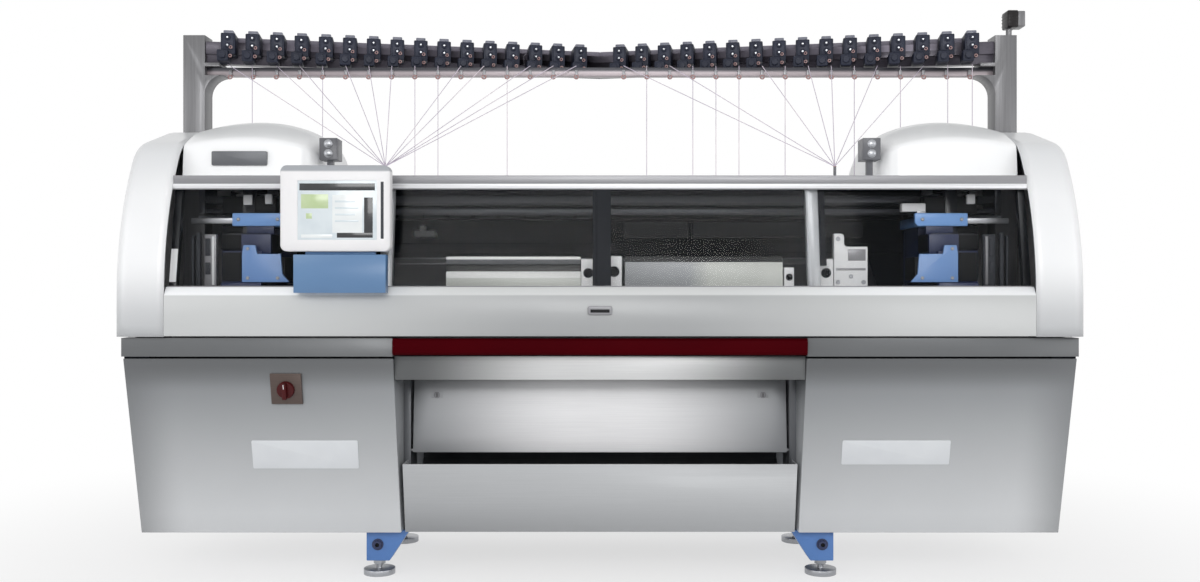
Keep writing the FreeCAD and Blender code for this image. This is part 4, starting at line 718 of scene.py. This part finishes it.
@built
def grip(shape):
    """The small plain grip in the middle of the front cover."""
    shape.prism(oblong(-0.046, 0.046, 1.037, 1.07, 0.008, 5), FRONT - 0.009, FRONT + 0.001, "y", 0.003,
                steps=3)
    shape.box((-0.036, FRONT - 0.0095, 1.045), (0.036, FRONT - 0.006, 1.058), 0.0015, paint=1)
    shape.make("front_grip", [TRIM, BLACK], "grey_trim", ["cover_pull"])


@built
def liner(shape):
    """The dark lining of the hood: its rear wall and the underside of the deck."""
    outline = [(0.498, 0.9572), (0.498, 1.615), (0.492, 1.621), (0.44, 1.621), (-0.344, 1.548),
               (-0.344, 1.54), (0.436, 1.612), (0.486, 1.612), (0.49, 1.606), (0.49, 0.9572)]
    shape.prism(outline, -1.622, 1.622, edge=0.001)
    shape.make("hood_liner", [LINER], "frame_steel")


# ---- control panel

PANEL_FRONT = FRONT - 0.0545


@built
def panel(shape):
    """The white housing with its round corners and sunk screen."""
    left, right, low, high, eased = -1.177, -0.772, 1.272, 1.589, 0.004
    outer = oblong(left, right, low, high, 0.024)
    easing = oblong(left + eased, right - eased, low + eased, high - eased, 0.02)
    window = oblong(-1.114, -0.82, 1.313, 1.534, 0.004)
    rings = [(outer, FRONT - 0.008), (outer, PANEL_FRONT + eased), (easing, PANEL_FRONT),
             (window, PANEL_FRONT), (window, PANEL_FRONT + 0.0025)]
    count, last = len(outer), len(rings) - 1
    faces = [tuple(range(count))] + [(a, d, c, b) for a, b, c, d in grid(len(rings), count, True)]
    faces.append(tuple(range(last * count, (last + 1) * count)))
    shape.add([(x, y, z) for ring, y in rings for x, z in ring], faces)
    # A dark strip right of the window: painted shade standing in for a groove.
    shape.box((-0.8065, PANEL_FRONT - 0.0004, 1.318), (-0.7955, PANEL_FRONT + 0.003, 1.528), 0.0003, paint=1)
    shape.make("panel_bezel", [HOUSING, LINER_MID], "plastic_white", ["panel_housing"], body="control_panel",
               angle=50)


@built
def screen(shape):
    """The display: a pale field, dark bars, green patches and a dark frame."""
    fields = [(-1.1125, -0.8215, 1.3145, 1.5325, 0.0, 0), (-1.106, -0.828, 1.496, 1.522, 0.0006, 1),
              (-1.1, -1.0, 1.43, 1.482, 0.0005, 2), (-1.082, -1.06, 1.392, 1.412, 0.0005, 2),
              (-0.985, -0.875, 1.34, 1.48, 0.0004, 3), (-0.868, -0.836, 1.33, 1.47, 0.0006, 1),
              (-0.968, -0.836, 1.322, 1.34, 0.0007, 1), (-1.1, -0.985, 1.322, 1.334, 0.0006, 3)]
    fields += [(-0.975, -0.9 + 0.012 * (row % 2), 1.452 - 0.024 * row, 1.459 - 0.024 * row, 0.0008, 0)
               for row in range(4)]
    for x0, x1, z0, z1, lift, paint in fields:
        shape.box((x0, PANEL_FRONT + 0.002 - lift, z0), (x1, PANEL_FRONT + 0.0027, z1), 0.0003, paint)
    shape.make("panel_display", [SCREEN_PALE, SCREEN_DARK, SCREEN_GREEN, SCREEN_WHITE], "screen",
               ["panel_screen"], body="control_panel")


# ---- main switch, feet, gland

@built
def switch_knob(shape):
    """A turned knob with a raised grip bar and a pale mark."""
    out = Vector((0, -cos(CABINET_LEAN), -sin(CABINET_LEAN)))
    place = facing(*(Vector((-1.186, face_y(0.756), 0.756)) + out * 0.0105), out)
    shape.lathe([(0, 0), (0.033, 0), (0.033, 0.01), (0.031, 0.0135), (0.026, 0.0145), (0, 0.0145)], place, 40)
    shape.box((-0.008, -0.031, 0.012), (0.008, 0.031, 0.0335), 0.003, place=place, steps=3)
    shape.box((-0.0015, 0.012, 0.0325), (0.0015, 0.029, 0.034), 0.0005, 1, place=place)
    shape.make("switch_grip", [KNOB_RED, PLASTIC], "dark_red", ["main_switch_knob"], body="main_switch_knob")


@built
def foot_bolts(shape):
    """A bolt with a hexagon socket through each foot bracket."""
    for side in HANDS:
        for depth in (0.24, 0.79):
            place = forward(side * 0.878, depth - 0.0002, 0.125)
            shape.lathe([(0.02295, -0.0005), (0.02295, 0.00272), (0.017, 0.00306), (0.017, 0.01224),
                         (0.01462, 0.01462), (0.0085, 0.01496)], place, 16)
            shape.lathe([(0.0085, 0.01496), (0.0085, 0.0068), (0, 0.0068)], place, 6, 1)
    shape.make("foot_bolts", [DEEP_BLUE, BLACK], "blue_paint")


@built
def gland(shape):
    """The mains inlet gland: a six-sided nut and a domed cap with a plain mouth."""
    place = facing(-1.27, FRONT + 0.925, 0.32, (0, 1, 0))
    shape.lathe([(0, 0), (0.0198, 0), (0.0198, 0.009), (0.018, 0.0105)], place, 6)
    shape.lathe([(0.0168, 0.009), (0.0168, 0.016), (0.014, 0.0215), (0.0105, 0.0235), (0.0085, 0.0235),
                 (0.0085, 0.012), (0, 0.012)], place, 28)
    shape.make("inlet_gland", [BLACK], "rubber", ["cable_gland"])


# ---- yarn stand

UNIT_FIRST, UNIT_PITCH = 0.1, 0.0975
UNIT_X = [UNIT_FIRST + number * UNIT_PITCH for number in range(16)]
RAIL_MIDDLE, RAIL_END, RAIL_HALF = 0.82, 0.53, 1.663
RAIL_RUN = (RAIL_MIDDLE - RAIL_END) / RAIL_HALF
GUIDE_X, GUIDE_DEPTH = {-1: -0.85, 1: 0.93}, 0.25
STRAIGHT = {-1: (3, 6, 7, 11, 14), 1: (1, 3, 4, 5, 7, 10, 12, 14, 15)}


def rail_depth(x):
    """The depth of the front of a unit rail."""
    return RAIL_MIDDLE - x * RAIL_RUN


def eye(shape, place, radius, outer, inner, half, sides, paint=1):
    """A yarn eye: a ring that is thickest at its middle radius."""
    shape.lathe([(radius, -half), (outer, 0), (radius, half), (inner, 0), (radius, -half)], place, sides,
                paint)


@built
def control_units(shape):
    """Each unit: body, cap, face plate, arm, tension discs, knob and eyes."""
    for side, x in [(side, x) for side in HANDS for x in UNIT_X]:
        turn = Matrix.Rotation(atan(RAIL_RUN) * -side, 4, "Z")
        place = at(side * x, FRONT + rail_depth(x), 0) @ turn
        shape.box((-0.029, -0.088, 2.112), (0.029, 0.0, 2.2), 0.004, 0, place)
        shape.box((-0.02, -0.074, 2.198), (0.02, -0.014, 2.214), 0.003, 4, place)
        shape.box((-0.022, -0.091, 2.13), (0.022, -0.086, 2.194), 0.002, 1, place)
        shape.box((-0.041, -0.114, 2.078), (0.005, -0.026, 2.126), 0.006, 0, place)
        for z in (2.179, 2.147):
            disc = place @ facing(0, -0.0905, z, (0, -1, 0))
            shape.lathe([(0.013, 0), (0.013, 0.002), (0.0085, 0.005), (0.004, 0.0055)], disc, 12)
            shape.lathe([(0.004, 0.0045), (0.004, 0.012), (0, 0.0125)], disc, 8, 2)
        knob = place @ facing(-0.018, -0.1135, 2.102, (0, -1, 0))
        shape.lathe([(0, 0), (0.015, 0), (0.015, 0.006), (0.012, 0.009), (0, 0.01)], knob, 14)
        for z, y in ((2.1395, -0.0945), (2.101, -0.108)):
            eye(shape, place @ facing(0.012, y, z, (0, -1, 0)), 0.005, 0.0075, 0.0035, 0.0015, 10, 3)
    shape.make("yarn_units", [UNIT, UNIT_FACE, STEEL, CERAMIC, UNIT_CAP], "unit_plastic",
               ["yarn_control_units"])


@built
def rail_ducts(shape):
    """A low wiring duct on top of each unit rail, jointed every few units."""
    for side in HANDS:
        for number in range(4):
            ends = (number * 0.4025, number * 0.4025 + 0.4005)
            near, far = ([(side * x, FRONT + rail_depth(x) + back) for x in ends] for back in (0.008, 0.048))
            shape.prism(near + far[::-1], 2.1802, 2.2015, "z", 0.003)
    shape.make("rail_ducts", [DUCT], "grey_trim")


@built
def yarns(shape):
    """Threads from the units to the guide of their side or straight down to the hood."""
    for side in HANDS:
        for number, x in enumerate(UNIT_X):
            depth = min(rail_depth(x) - 0.044, 0.536)
            start = Vector((side * x, FRONT + depth, 2.0775))
            end = Vector((GUIDE_X[side], FRONT + GUIDE_DEPTH, 1.6195))
            if number in STRAIGHT[side]:
                end = Vector((start.x, start.y, 1.762 if x > 1.11 else deck_height(depth)))
            shape.tube([start, start.lerp(end, 0.5), end], 0.0015, 6)
    shape.make("yarn_threads", [YARN], "yarn", ["yarns"])


@built
def eyelets(shape):
    """A ceramic eyelet below the guide rail at each yarn."""
    for x in [side * x for side in HANDS for x in UNIT_X]:
        shape.blocks([(x - 0.006, x + 0.006, 0.534, 0.5405, 2.03, 2.06, 0.0015, 0)])
        eye(shape, facing(x, FRONT + 0.533, 2.03, (0, -1, 0.2)), 0.0085, 0.0115, 0.005, 0.003, 12)
    shape.make("guide_eyelets", [TRIM, CERAMIC], "machined_steel")


@built
def tensioner_details(shape):
    """Discs on the side tensioners, and the eyes of the two yarn guides."""
    for x in (-1.063, 1.063):
        for z in (1.664, 1.702):
            shape.lathe([(0, 0), (0.016, 0), (0.017, 0.002), (0.011, 0.007), (0, 0.008)],
                        forward(x, 0.1962, z), 18)
    for x in GUIDE_X.values():
        eye(shape, facing(x, FRONT + GUIDE_DEPTH, 1.6185, (0, 0, 1)), 0.005, 0.0078, 0.003, 0.002, 16)
    shape.make("tensioner_discs", [STEEL, CERAMIC], "machined_steel")


@built
def lamp(shape):
    """The lamp head: a dark lens with ribs, and a grey base at its right."""
    y = FRONT + 0.56
    shape.lathe([(0, 2.203), (0.02, 2.203), (0.02, 2.207), (0.012, 2.21), (0.012, 2.236), (0.018, 2.241)],
                at(1.737, y, 0), 20, 1)
    shape.box((1.72, y - 0.036, 2.24), (1.766, y + 0.036, 2.312), 0.006, 0, steps=3)
    shape.box((1.764, y - 0.033, 2.243), (1.795, y + 0.033, 2.309), 0.004, 1, steps=3)
    for z in (2.256, 2.27, 2.284, 2.298):
        shape.box((1.7193, y - 0.0365, z - 0.0015), (1.762, y + 0.0365, z + 0.0015), 0.0006, 0)
    shape.make("lamp_head", [LAMP, STAND], "lamp", ["signal_lamp"])


# ---- behind the glass

GLASS_FOOT, GLASS_TOP = (0.03, 1.141), (0.095, 1.517)
GLASS_SLOPE = (GLASS_TOP[0] - GLASS_FOOT[0]) / (GLASS_TOP[1] - GLASS_FOOT[1])
CARRIAGE_X = 1.39


def leaning(behind, thick, low, high):
    """The side view of a flat bar that leans with the glazing, between two heights."""
    near = [(FRONT + GLASS_FOOT[0] + (z - GLASS_FOOT[1]) * GLASS_SLOPE + behind, z) for z in (low, high)]
    return near + [(y + thick, z) for y, z in reversed(near)]


for hand, start, end in (("right", -0.01315, 0.04165), ("left", -0.0279, -0.01335)):
    stile = Shape().prism(leaning(-0.0052, 0.0064, 1.1456, 1.5124), start, end, edge=0.0008)
    stile.make(f"{hand}_door_stile", [STILE], "grey_trim", body=f"{hand}_door")


def needles(name, body, rear):
    """The needle shanks and sinkers along the tip of a bed."""
    half, middle = 1.096, 0.405
    corners = [(0.375, 1.2352), (0.3975, 1.2585), (0.3975, 1.262), (0.375, 1.2385)]
    outline = [(FRONT + (2 * middle - depth if rear else depth), z) for depth, z in corners]
    shape = Shape()
    for x in [number * NEEDLE_PITCH - half for number in range(int(2 * half / NEEDLE_PITCH))]:
        shape.prism(outline, x, x + 0.0014)
    shape.make(name, [STEEL], "machined_steel", body=body)


needles("front_needles", MAIN, False)
needles("rear_needles", "rear_needle_bed", True)


@built
def clamp_bushes(shape):
    """A dark bush in the eye of each bed clamp."""
    for left, share in ((-0.072, 1.0), (0.024, 1.1), (0.706, 0.7), (0.839, 1.0)):
        x, z = left + 0.027 * share, 1.141 + 0.054 * share
        place = forward(x, 0.1095, z)
        radius = 0.017 * share
        shape.lathe([(radius * 1.12, -0.001), (radius * 1.12, 0.002), (radius * 0.9, 0.003),
                     (radius * 0.72, 0.002), (radius * 0.72, -0.03), (0, -0.03)], place, 28)
    shape.make("clamp_bushes", [LINER], "machined_steel")


SENSORS = {1: [(-0.2, -0.106, 0.23, 0.262, 1.439, 1.472, 0.003, 2),
               (-0.14, -0.106, 0.2305, 0.245, 1.43, 1.441, 0.001, 3),
               (0.06, 0.092, 0.236, 0.254, 1.47, 1.508, 0.003, 2)],
           -1: [(-0.017, 0.018, 0.234, 0.2448, 1.466, 1.506, 0.003, 2),
                (-0.094, -0.067, 0.236, 0.254, 1.47, 1.508, 0.003, 2)]}


def carriage_fittings(side):
    """What is bolted to a carriage: cam cover, motors, sensor blocks and bolts."""
    middle = side * CARRIAGE_X
    shape = Shape()
    for near, far, corners in (
            (0.153, 0.1645, [(-0.188, 1.16), (-0.003, 1.16), (-0.003, 1.268), (-0.009, 1.304),
                             (-0.056, 1.304), (-0.062, 1.27), (-0.154, 1.27), (-0.16, 1.192)]),
            (0.226, 0.2452, [(-0.149, 1.394), (-0.137, 1.382), (0.059, 1.382), (0.059, 1.433),
                             (-0.149, 1.433)])):
        shape.prism([(middle + side * x, z) for x, z in corners], FRONT + near, FRONT + far, "y", 0.003)
    shape.blocks([(-0.168, -0.08, 0.1645, 0.3, 1.168, 1.258, 0.004, 4),
                  (0.0, 0.074, 0.156, 0.1648, 1.164, 1.276, 0.004, 4),
                  (-0.106, 0.01, 0.186, 0.2055, 1.268, 1.348, 0.003, 1),
                  (0.01, 0.092, 0.19, 0.2055, 1.29, 1.346, 0.003, 4),
                  (-0.104, 0.004, 0.232, 0.25, 1.35, 1.3845, 0.003, 1),
                  (0.052, 0.222, 0.2305, 0.2405, 1.392, 1.414, 0.002, 3),
                  (0.0, 0.11, 0.256, 0.33, 1.352, 1.386, 0.004, 4),
                  (-0.106, 0.106, 0.2505, 0.3, 1.433, 1.5, 0.004, 4),
                  (-0.09, 0.09, 0.395, 0.4255, 1.388, 1.436, 0.004, 0),
                  (-0.094, -0.03, 0.52, 0.6, 1.43, 1.5, 0.004, 4)] + SENSORS[side], side, middle)
    for profile, spots in (
            ([(0.0105, -0.001), (0.0105, 0.001), (0.007, 0.002), (0.007, 0.005), (0.0055, 0.0065),
              (0, 0.0065)],
             ((-0.142, 0.1568, 1.176), (-0.026, 0.1568, 1.176), (-0.026, 0.1568, 1.29))),
            ([(0.007, -0.001), (0.007, 0.003), (0.0055, 0.0045), (0, 0.0045)],
             ((-0.12, 0.226, 1.408), (0.034, 0.226, 1.408))),
            ([(0.008, -0.001), (0.008, 0.004), (0.006, 0.0055), (0, 0.0055)],
             ((-0.072, 0.395, 1.412), (0.072, 0.395, 1.412)))):
        for x, depth, z in spots:
            shape.lathe(profile, forward(middle + side * x, depth, z), 14, 3)
    shape.make(f"{HANDS[side]}_carriage_fittings", [CARRIAGE, DEEP_BLUE, PLASTIC, STEEL, BLACK], "blue_paint",
               body=f"{HANDS[side]}_carriage")


for hand in HANDS:
    carriage_fittings(hand)


@built
def stepped_block(shape):
    """The pale stepped block at the right of the bed covers, with its screws."""
    outline = [(0.897, 1.1412), (1.026, 1.1412), (1.026, 1.296), (0.944, 1.296), (0.936, 1.304),
               (0.936, 1.338), (0.926, 1.346), (0.897, 1.346)]
    shape.prism(outline, FRONT + 0.112, FRONT + 0.147, "y", 0.003)
    shape.blocks([(0.95, 1.018, 0.11, 0.113, 1.242, 1.286, 0.001, 1),
                  (0.905, 1.018, 0.11, 0.113, 1.205, 1.214, 0.001, 1)])
    for x, z in ((0.912, 1.326), (0.912, 1.16), (1.01, 1.16), (0.962, 1.182)):
        shape.lathe([(0.0085, -0.001), (0.0085, 0.0025), (0.007, 0.004), (0.004, 0.004), (0.004, 0.001),
                     (0, 0.001)], forward(x, 0.112, z), 18, 2)
    shape.make("stepped_block", [PLASTIC, TRIM, STEEL], "plastic_white")


@built
def glazing_strips(shape):
    """The dark strip beside the right post, and the pale stop at the left end post."""
    shape.prism(leaning(0.034, 0.008, 1.222, 1.5145), 0.8336, 0.862, edge=0.0008)
    shape.prism(leaning(0.0158, 0.003, 1.16, 1.286), -1.6265, -1.601, edge=0.0008, paint=1)
    shape.make("glazing_strips", [LINER, PLASTIC], "rubber")


@built
def cover_latches(shape):
    """The two quarter-turn latches of the take-down cover."""
    for x in (-0.65, 0.65):
        place = forward(x, 0.2797, 0.711)
        shape.lathe([(0.0125, 0), (0.0125, 0.0012), (0.0105, 0.0024), (0.0085, 0.0024), (0.0078, 0.001),
                     (0, 0.001)], place, 24)
        shape.box((-0.0015, -0.007, 0.0006), (0.0015, 0.007, 0.0022), 0.0004, 1, place)
    shape.make("cover_latches", [TRIM, BLACK], "machined_steel", body="take_down_cover")


@built
def end_columns(shape):
    """A stepped column at each end of the carriage track, and dark strips beyond."""
    for side, column, rib in ((-1, 1, 0), (1, 2, 1)):
        shape.blocks([(1.488, 1.534, 0.16, 0.184, 1.1155, 1.346, 0.003, column),
                      (1.494, 1.504, 0.156, 0.162, 1.15, 1.338, 0.002, rib),
                      (1.51, 1.53, 0.156, 0.162, 1.19, 1.236, 0.002, 2),
                      (1.51, 1.53, 0.156, 0.162, 1.262, 1.33, 0.002, 2),
                      (1.552, 1.566, 0.16, 0.184, 1.1155, 1.352, 0.002, 2),
                      (1.576, 1.584, 0.16, 0.184, 1.1155, 1.34, 0.002, 2)], side)
    shape.make("end_columns", [PLASTIC, TRIM, LINER_MID], "grey_trim")


@built
def end_bands(shape):
    """Plain sheets between the beams at both ends, below the end covers."""
    for side in HANDS:
        shape.blocks([(1.7702, 1.7742, 0.0755, 0.8795, 0.8815, 0.9495, 0.0015, 0),
                      (1.7, 1.792, 0.04, 0.876, 0.8722, 0.8798, 0.001, 1)], side)
    shape.make("end_bands", [BAND, LINER], "grey_trim")


@built
def rear_wall_gear(shape):
    """On the rear wall of the hood: a long cable duct, dark bands and a pale sensor."""
    shape.blocks([(-1.56, 0.03, 0.884, 0.946, 1.452, 1.506, 0.004, 0),
                  (0.03, 1.56, 0.884, 0.946, 1.452, 1.506, 0.004, 1),
                  (-1.56, 1.56, 0.9, 0.9465, 1.3, 1.345, 0.004, 1),
                  (0.11, 1.2, 0.896, 0.9465, 1.372, 1.441, 0.004, 0),
                  (0.402, 0.426, 0.892, 0.897, 1.352, 1.45, 0.0015, 1),
                  (-0.846, -0.75, 0.87, 0.946, 1.372, 1.4, 0.004, 2),
                  (-0.82, -0.8, 0.88, 0.946, 1.4, 1.424, 0.003, 2)])
    shape.blocks([(x - 0.009, x + 0.009, 0.881, 0.886, 1.458, 1.5, 0.0015, 1)
                  for x in [-1.508 + number * 0.116 for number in range(27)]])
    shape.make("rear_wall_gear", [LINER_MID, LINER, PLASTIC], "frame_steel")


@built
def hood_lining(shape):
    """Dark sheets at both ends of the hood and along its floor."""
    for side in HANDS:
        shape.blocks([(1.6005, 1.6035, 0.66, 0.946, 0.9545, 1.56, 0.001, 0),
                      (1.6045, 1.8, 0.09, 0.512, 0.9502, 0.9542, 0.001, 0),
                      (1.6045, 1.8, 0.608, 0.95, 0.9502, 0.9542, 0.001, 0),
                      (1.6045, 1.66, 0.513, 0.607, 0.9502, 0.9542, 0.001, 0),
                      (1.757, 1.8, 0.513, 0.607, 0.9502, 0.9542, 0.001, 0)], side)
    shape.blocks([(-1.6, 1.6, 0.6525, 0.946, 0.9502, 0.9567, 0.001, 0)])
    shape.make("hood_lining", [LINER], "frame_steel")


# ---- floor, world and lights

def floor():
    """A pale floor with the shadow near the machine, plain white further away."""
    mesh = bpy.data.meshes.new("floor")
    corners = [(-60, -60, 0), (60, -60, 0), (60, 60, 0), (-60, 60, 0)]
    mesh.from_pydata(corners, [], [(0, 1, 2, 3)])
    ground = linked("floor", mesh)
    finish = Finish("floor_pale", (238, 238, 239), rough=0.8)
    finish.tint((232, 232, 233), finish.ramp(finish.noise(0.8, 3.0), 0.3, 0.7, 0.0, 0.5))
    far = finish.add("ShaderNodeVectorMath")
    far.operation = "LENGTH"
    finish.put(far.inputs[0], finish.place)
    fade = finish.ramp(far.outputs["Value"], 1.2, 4.0, 0.64, 1.0, smooth=True)
    glow = finish.add("ShaderNodeEmission", Color=(1, 1, 1, 1), Strength=1.0)
    finish.mix(finish.both(finish.seen(), fade), finish.shader, glow, "Material Output")
    mesh.materials.append(finish.material)


def world():
    """Even pale light, and a white background for what looks straight at it."""
    surround = bpy.data.worlds.new("studio")
    bpy.context.scene.world = surround
    surround.use_nodes = True
    tree = Tree(surround.node_tree)
    light = tree.nodes["Background"]
    light.inputs["Color"].default_value = (1, 1, 1, 1)
    light.inputs["Strength"].default_value = 0.52
    plain = tree.add("ShaderNodeBackground", Color=(1, 1, 1, 1), Strength=1.0)
    tree.mix(tree.seen(), light, plain, "World Output")


def softbox(name, place, target, width, height, power):
    data = bpy.data.lights.new(name, "AREA")
    data.shape = "RECTANGLE"
    data.size, data.size_y, data.energy = width, height, power
    light = linked(name, data)
    light.location = place
    light.rotation_euler = (Vector(target) - Vector(place)).to_track_quat("-Z", "Y").to_euler()
    light.visible_camera = False


floor()
world()
bpy.context.scene.view_settings.view_transform = "Standard"
softbox("key", (0.0, -6.4, 3.4), (0, 0, 1.2), 5.0, 2.4, 180)
softbox("left_fill", (-5.5, -3.5, 2.4), (-0.6, 0, 1.0), 2.5, 3.0, 45)
softbox("right_fill", (5.5, -3.5, 2.4), (0.6, 0, 1.0), 2.5, 3.0, 45)
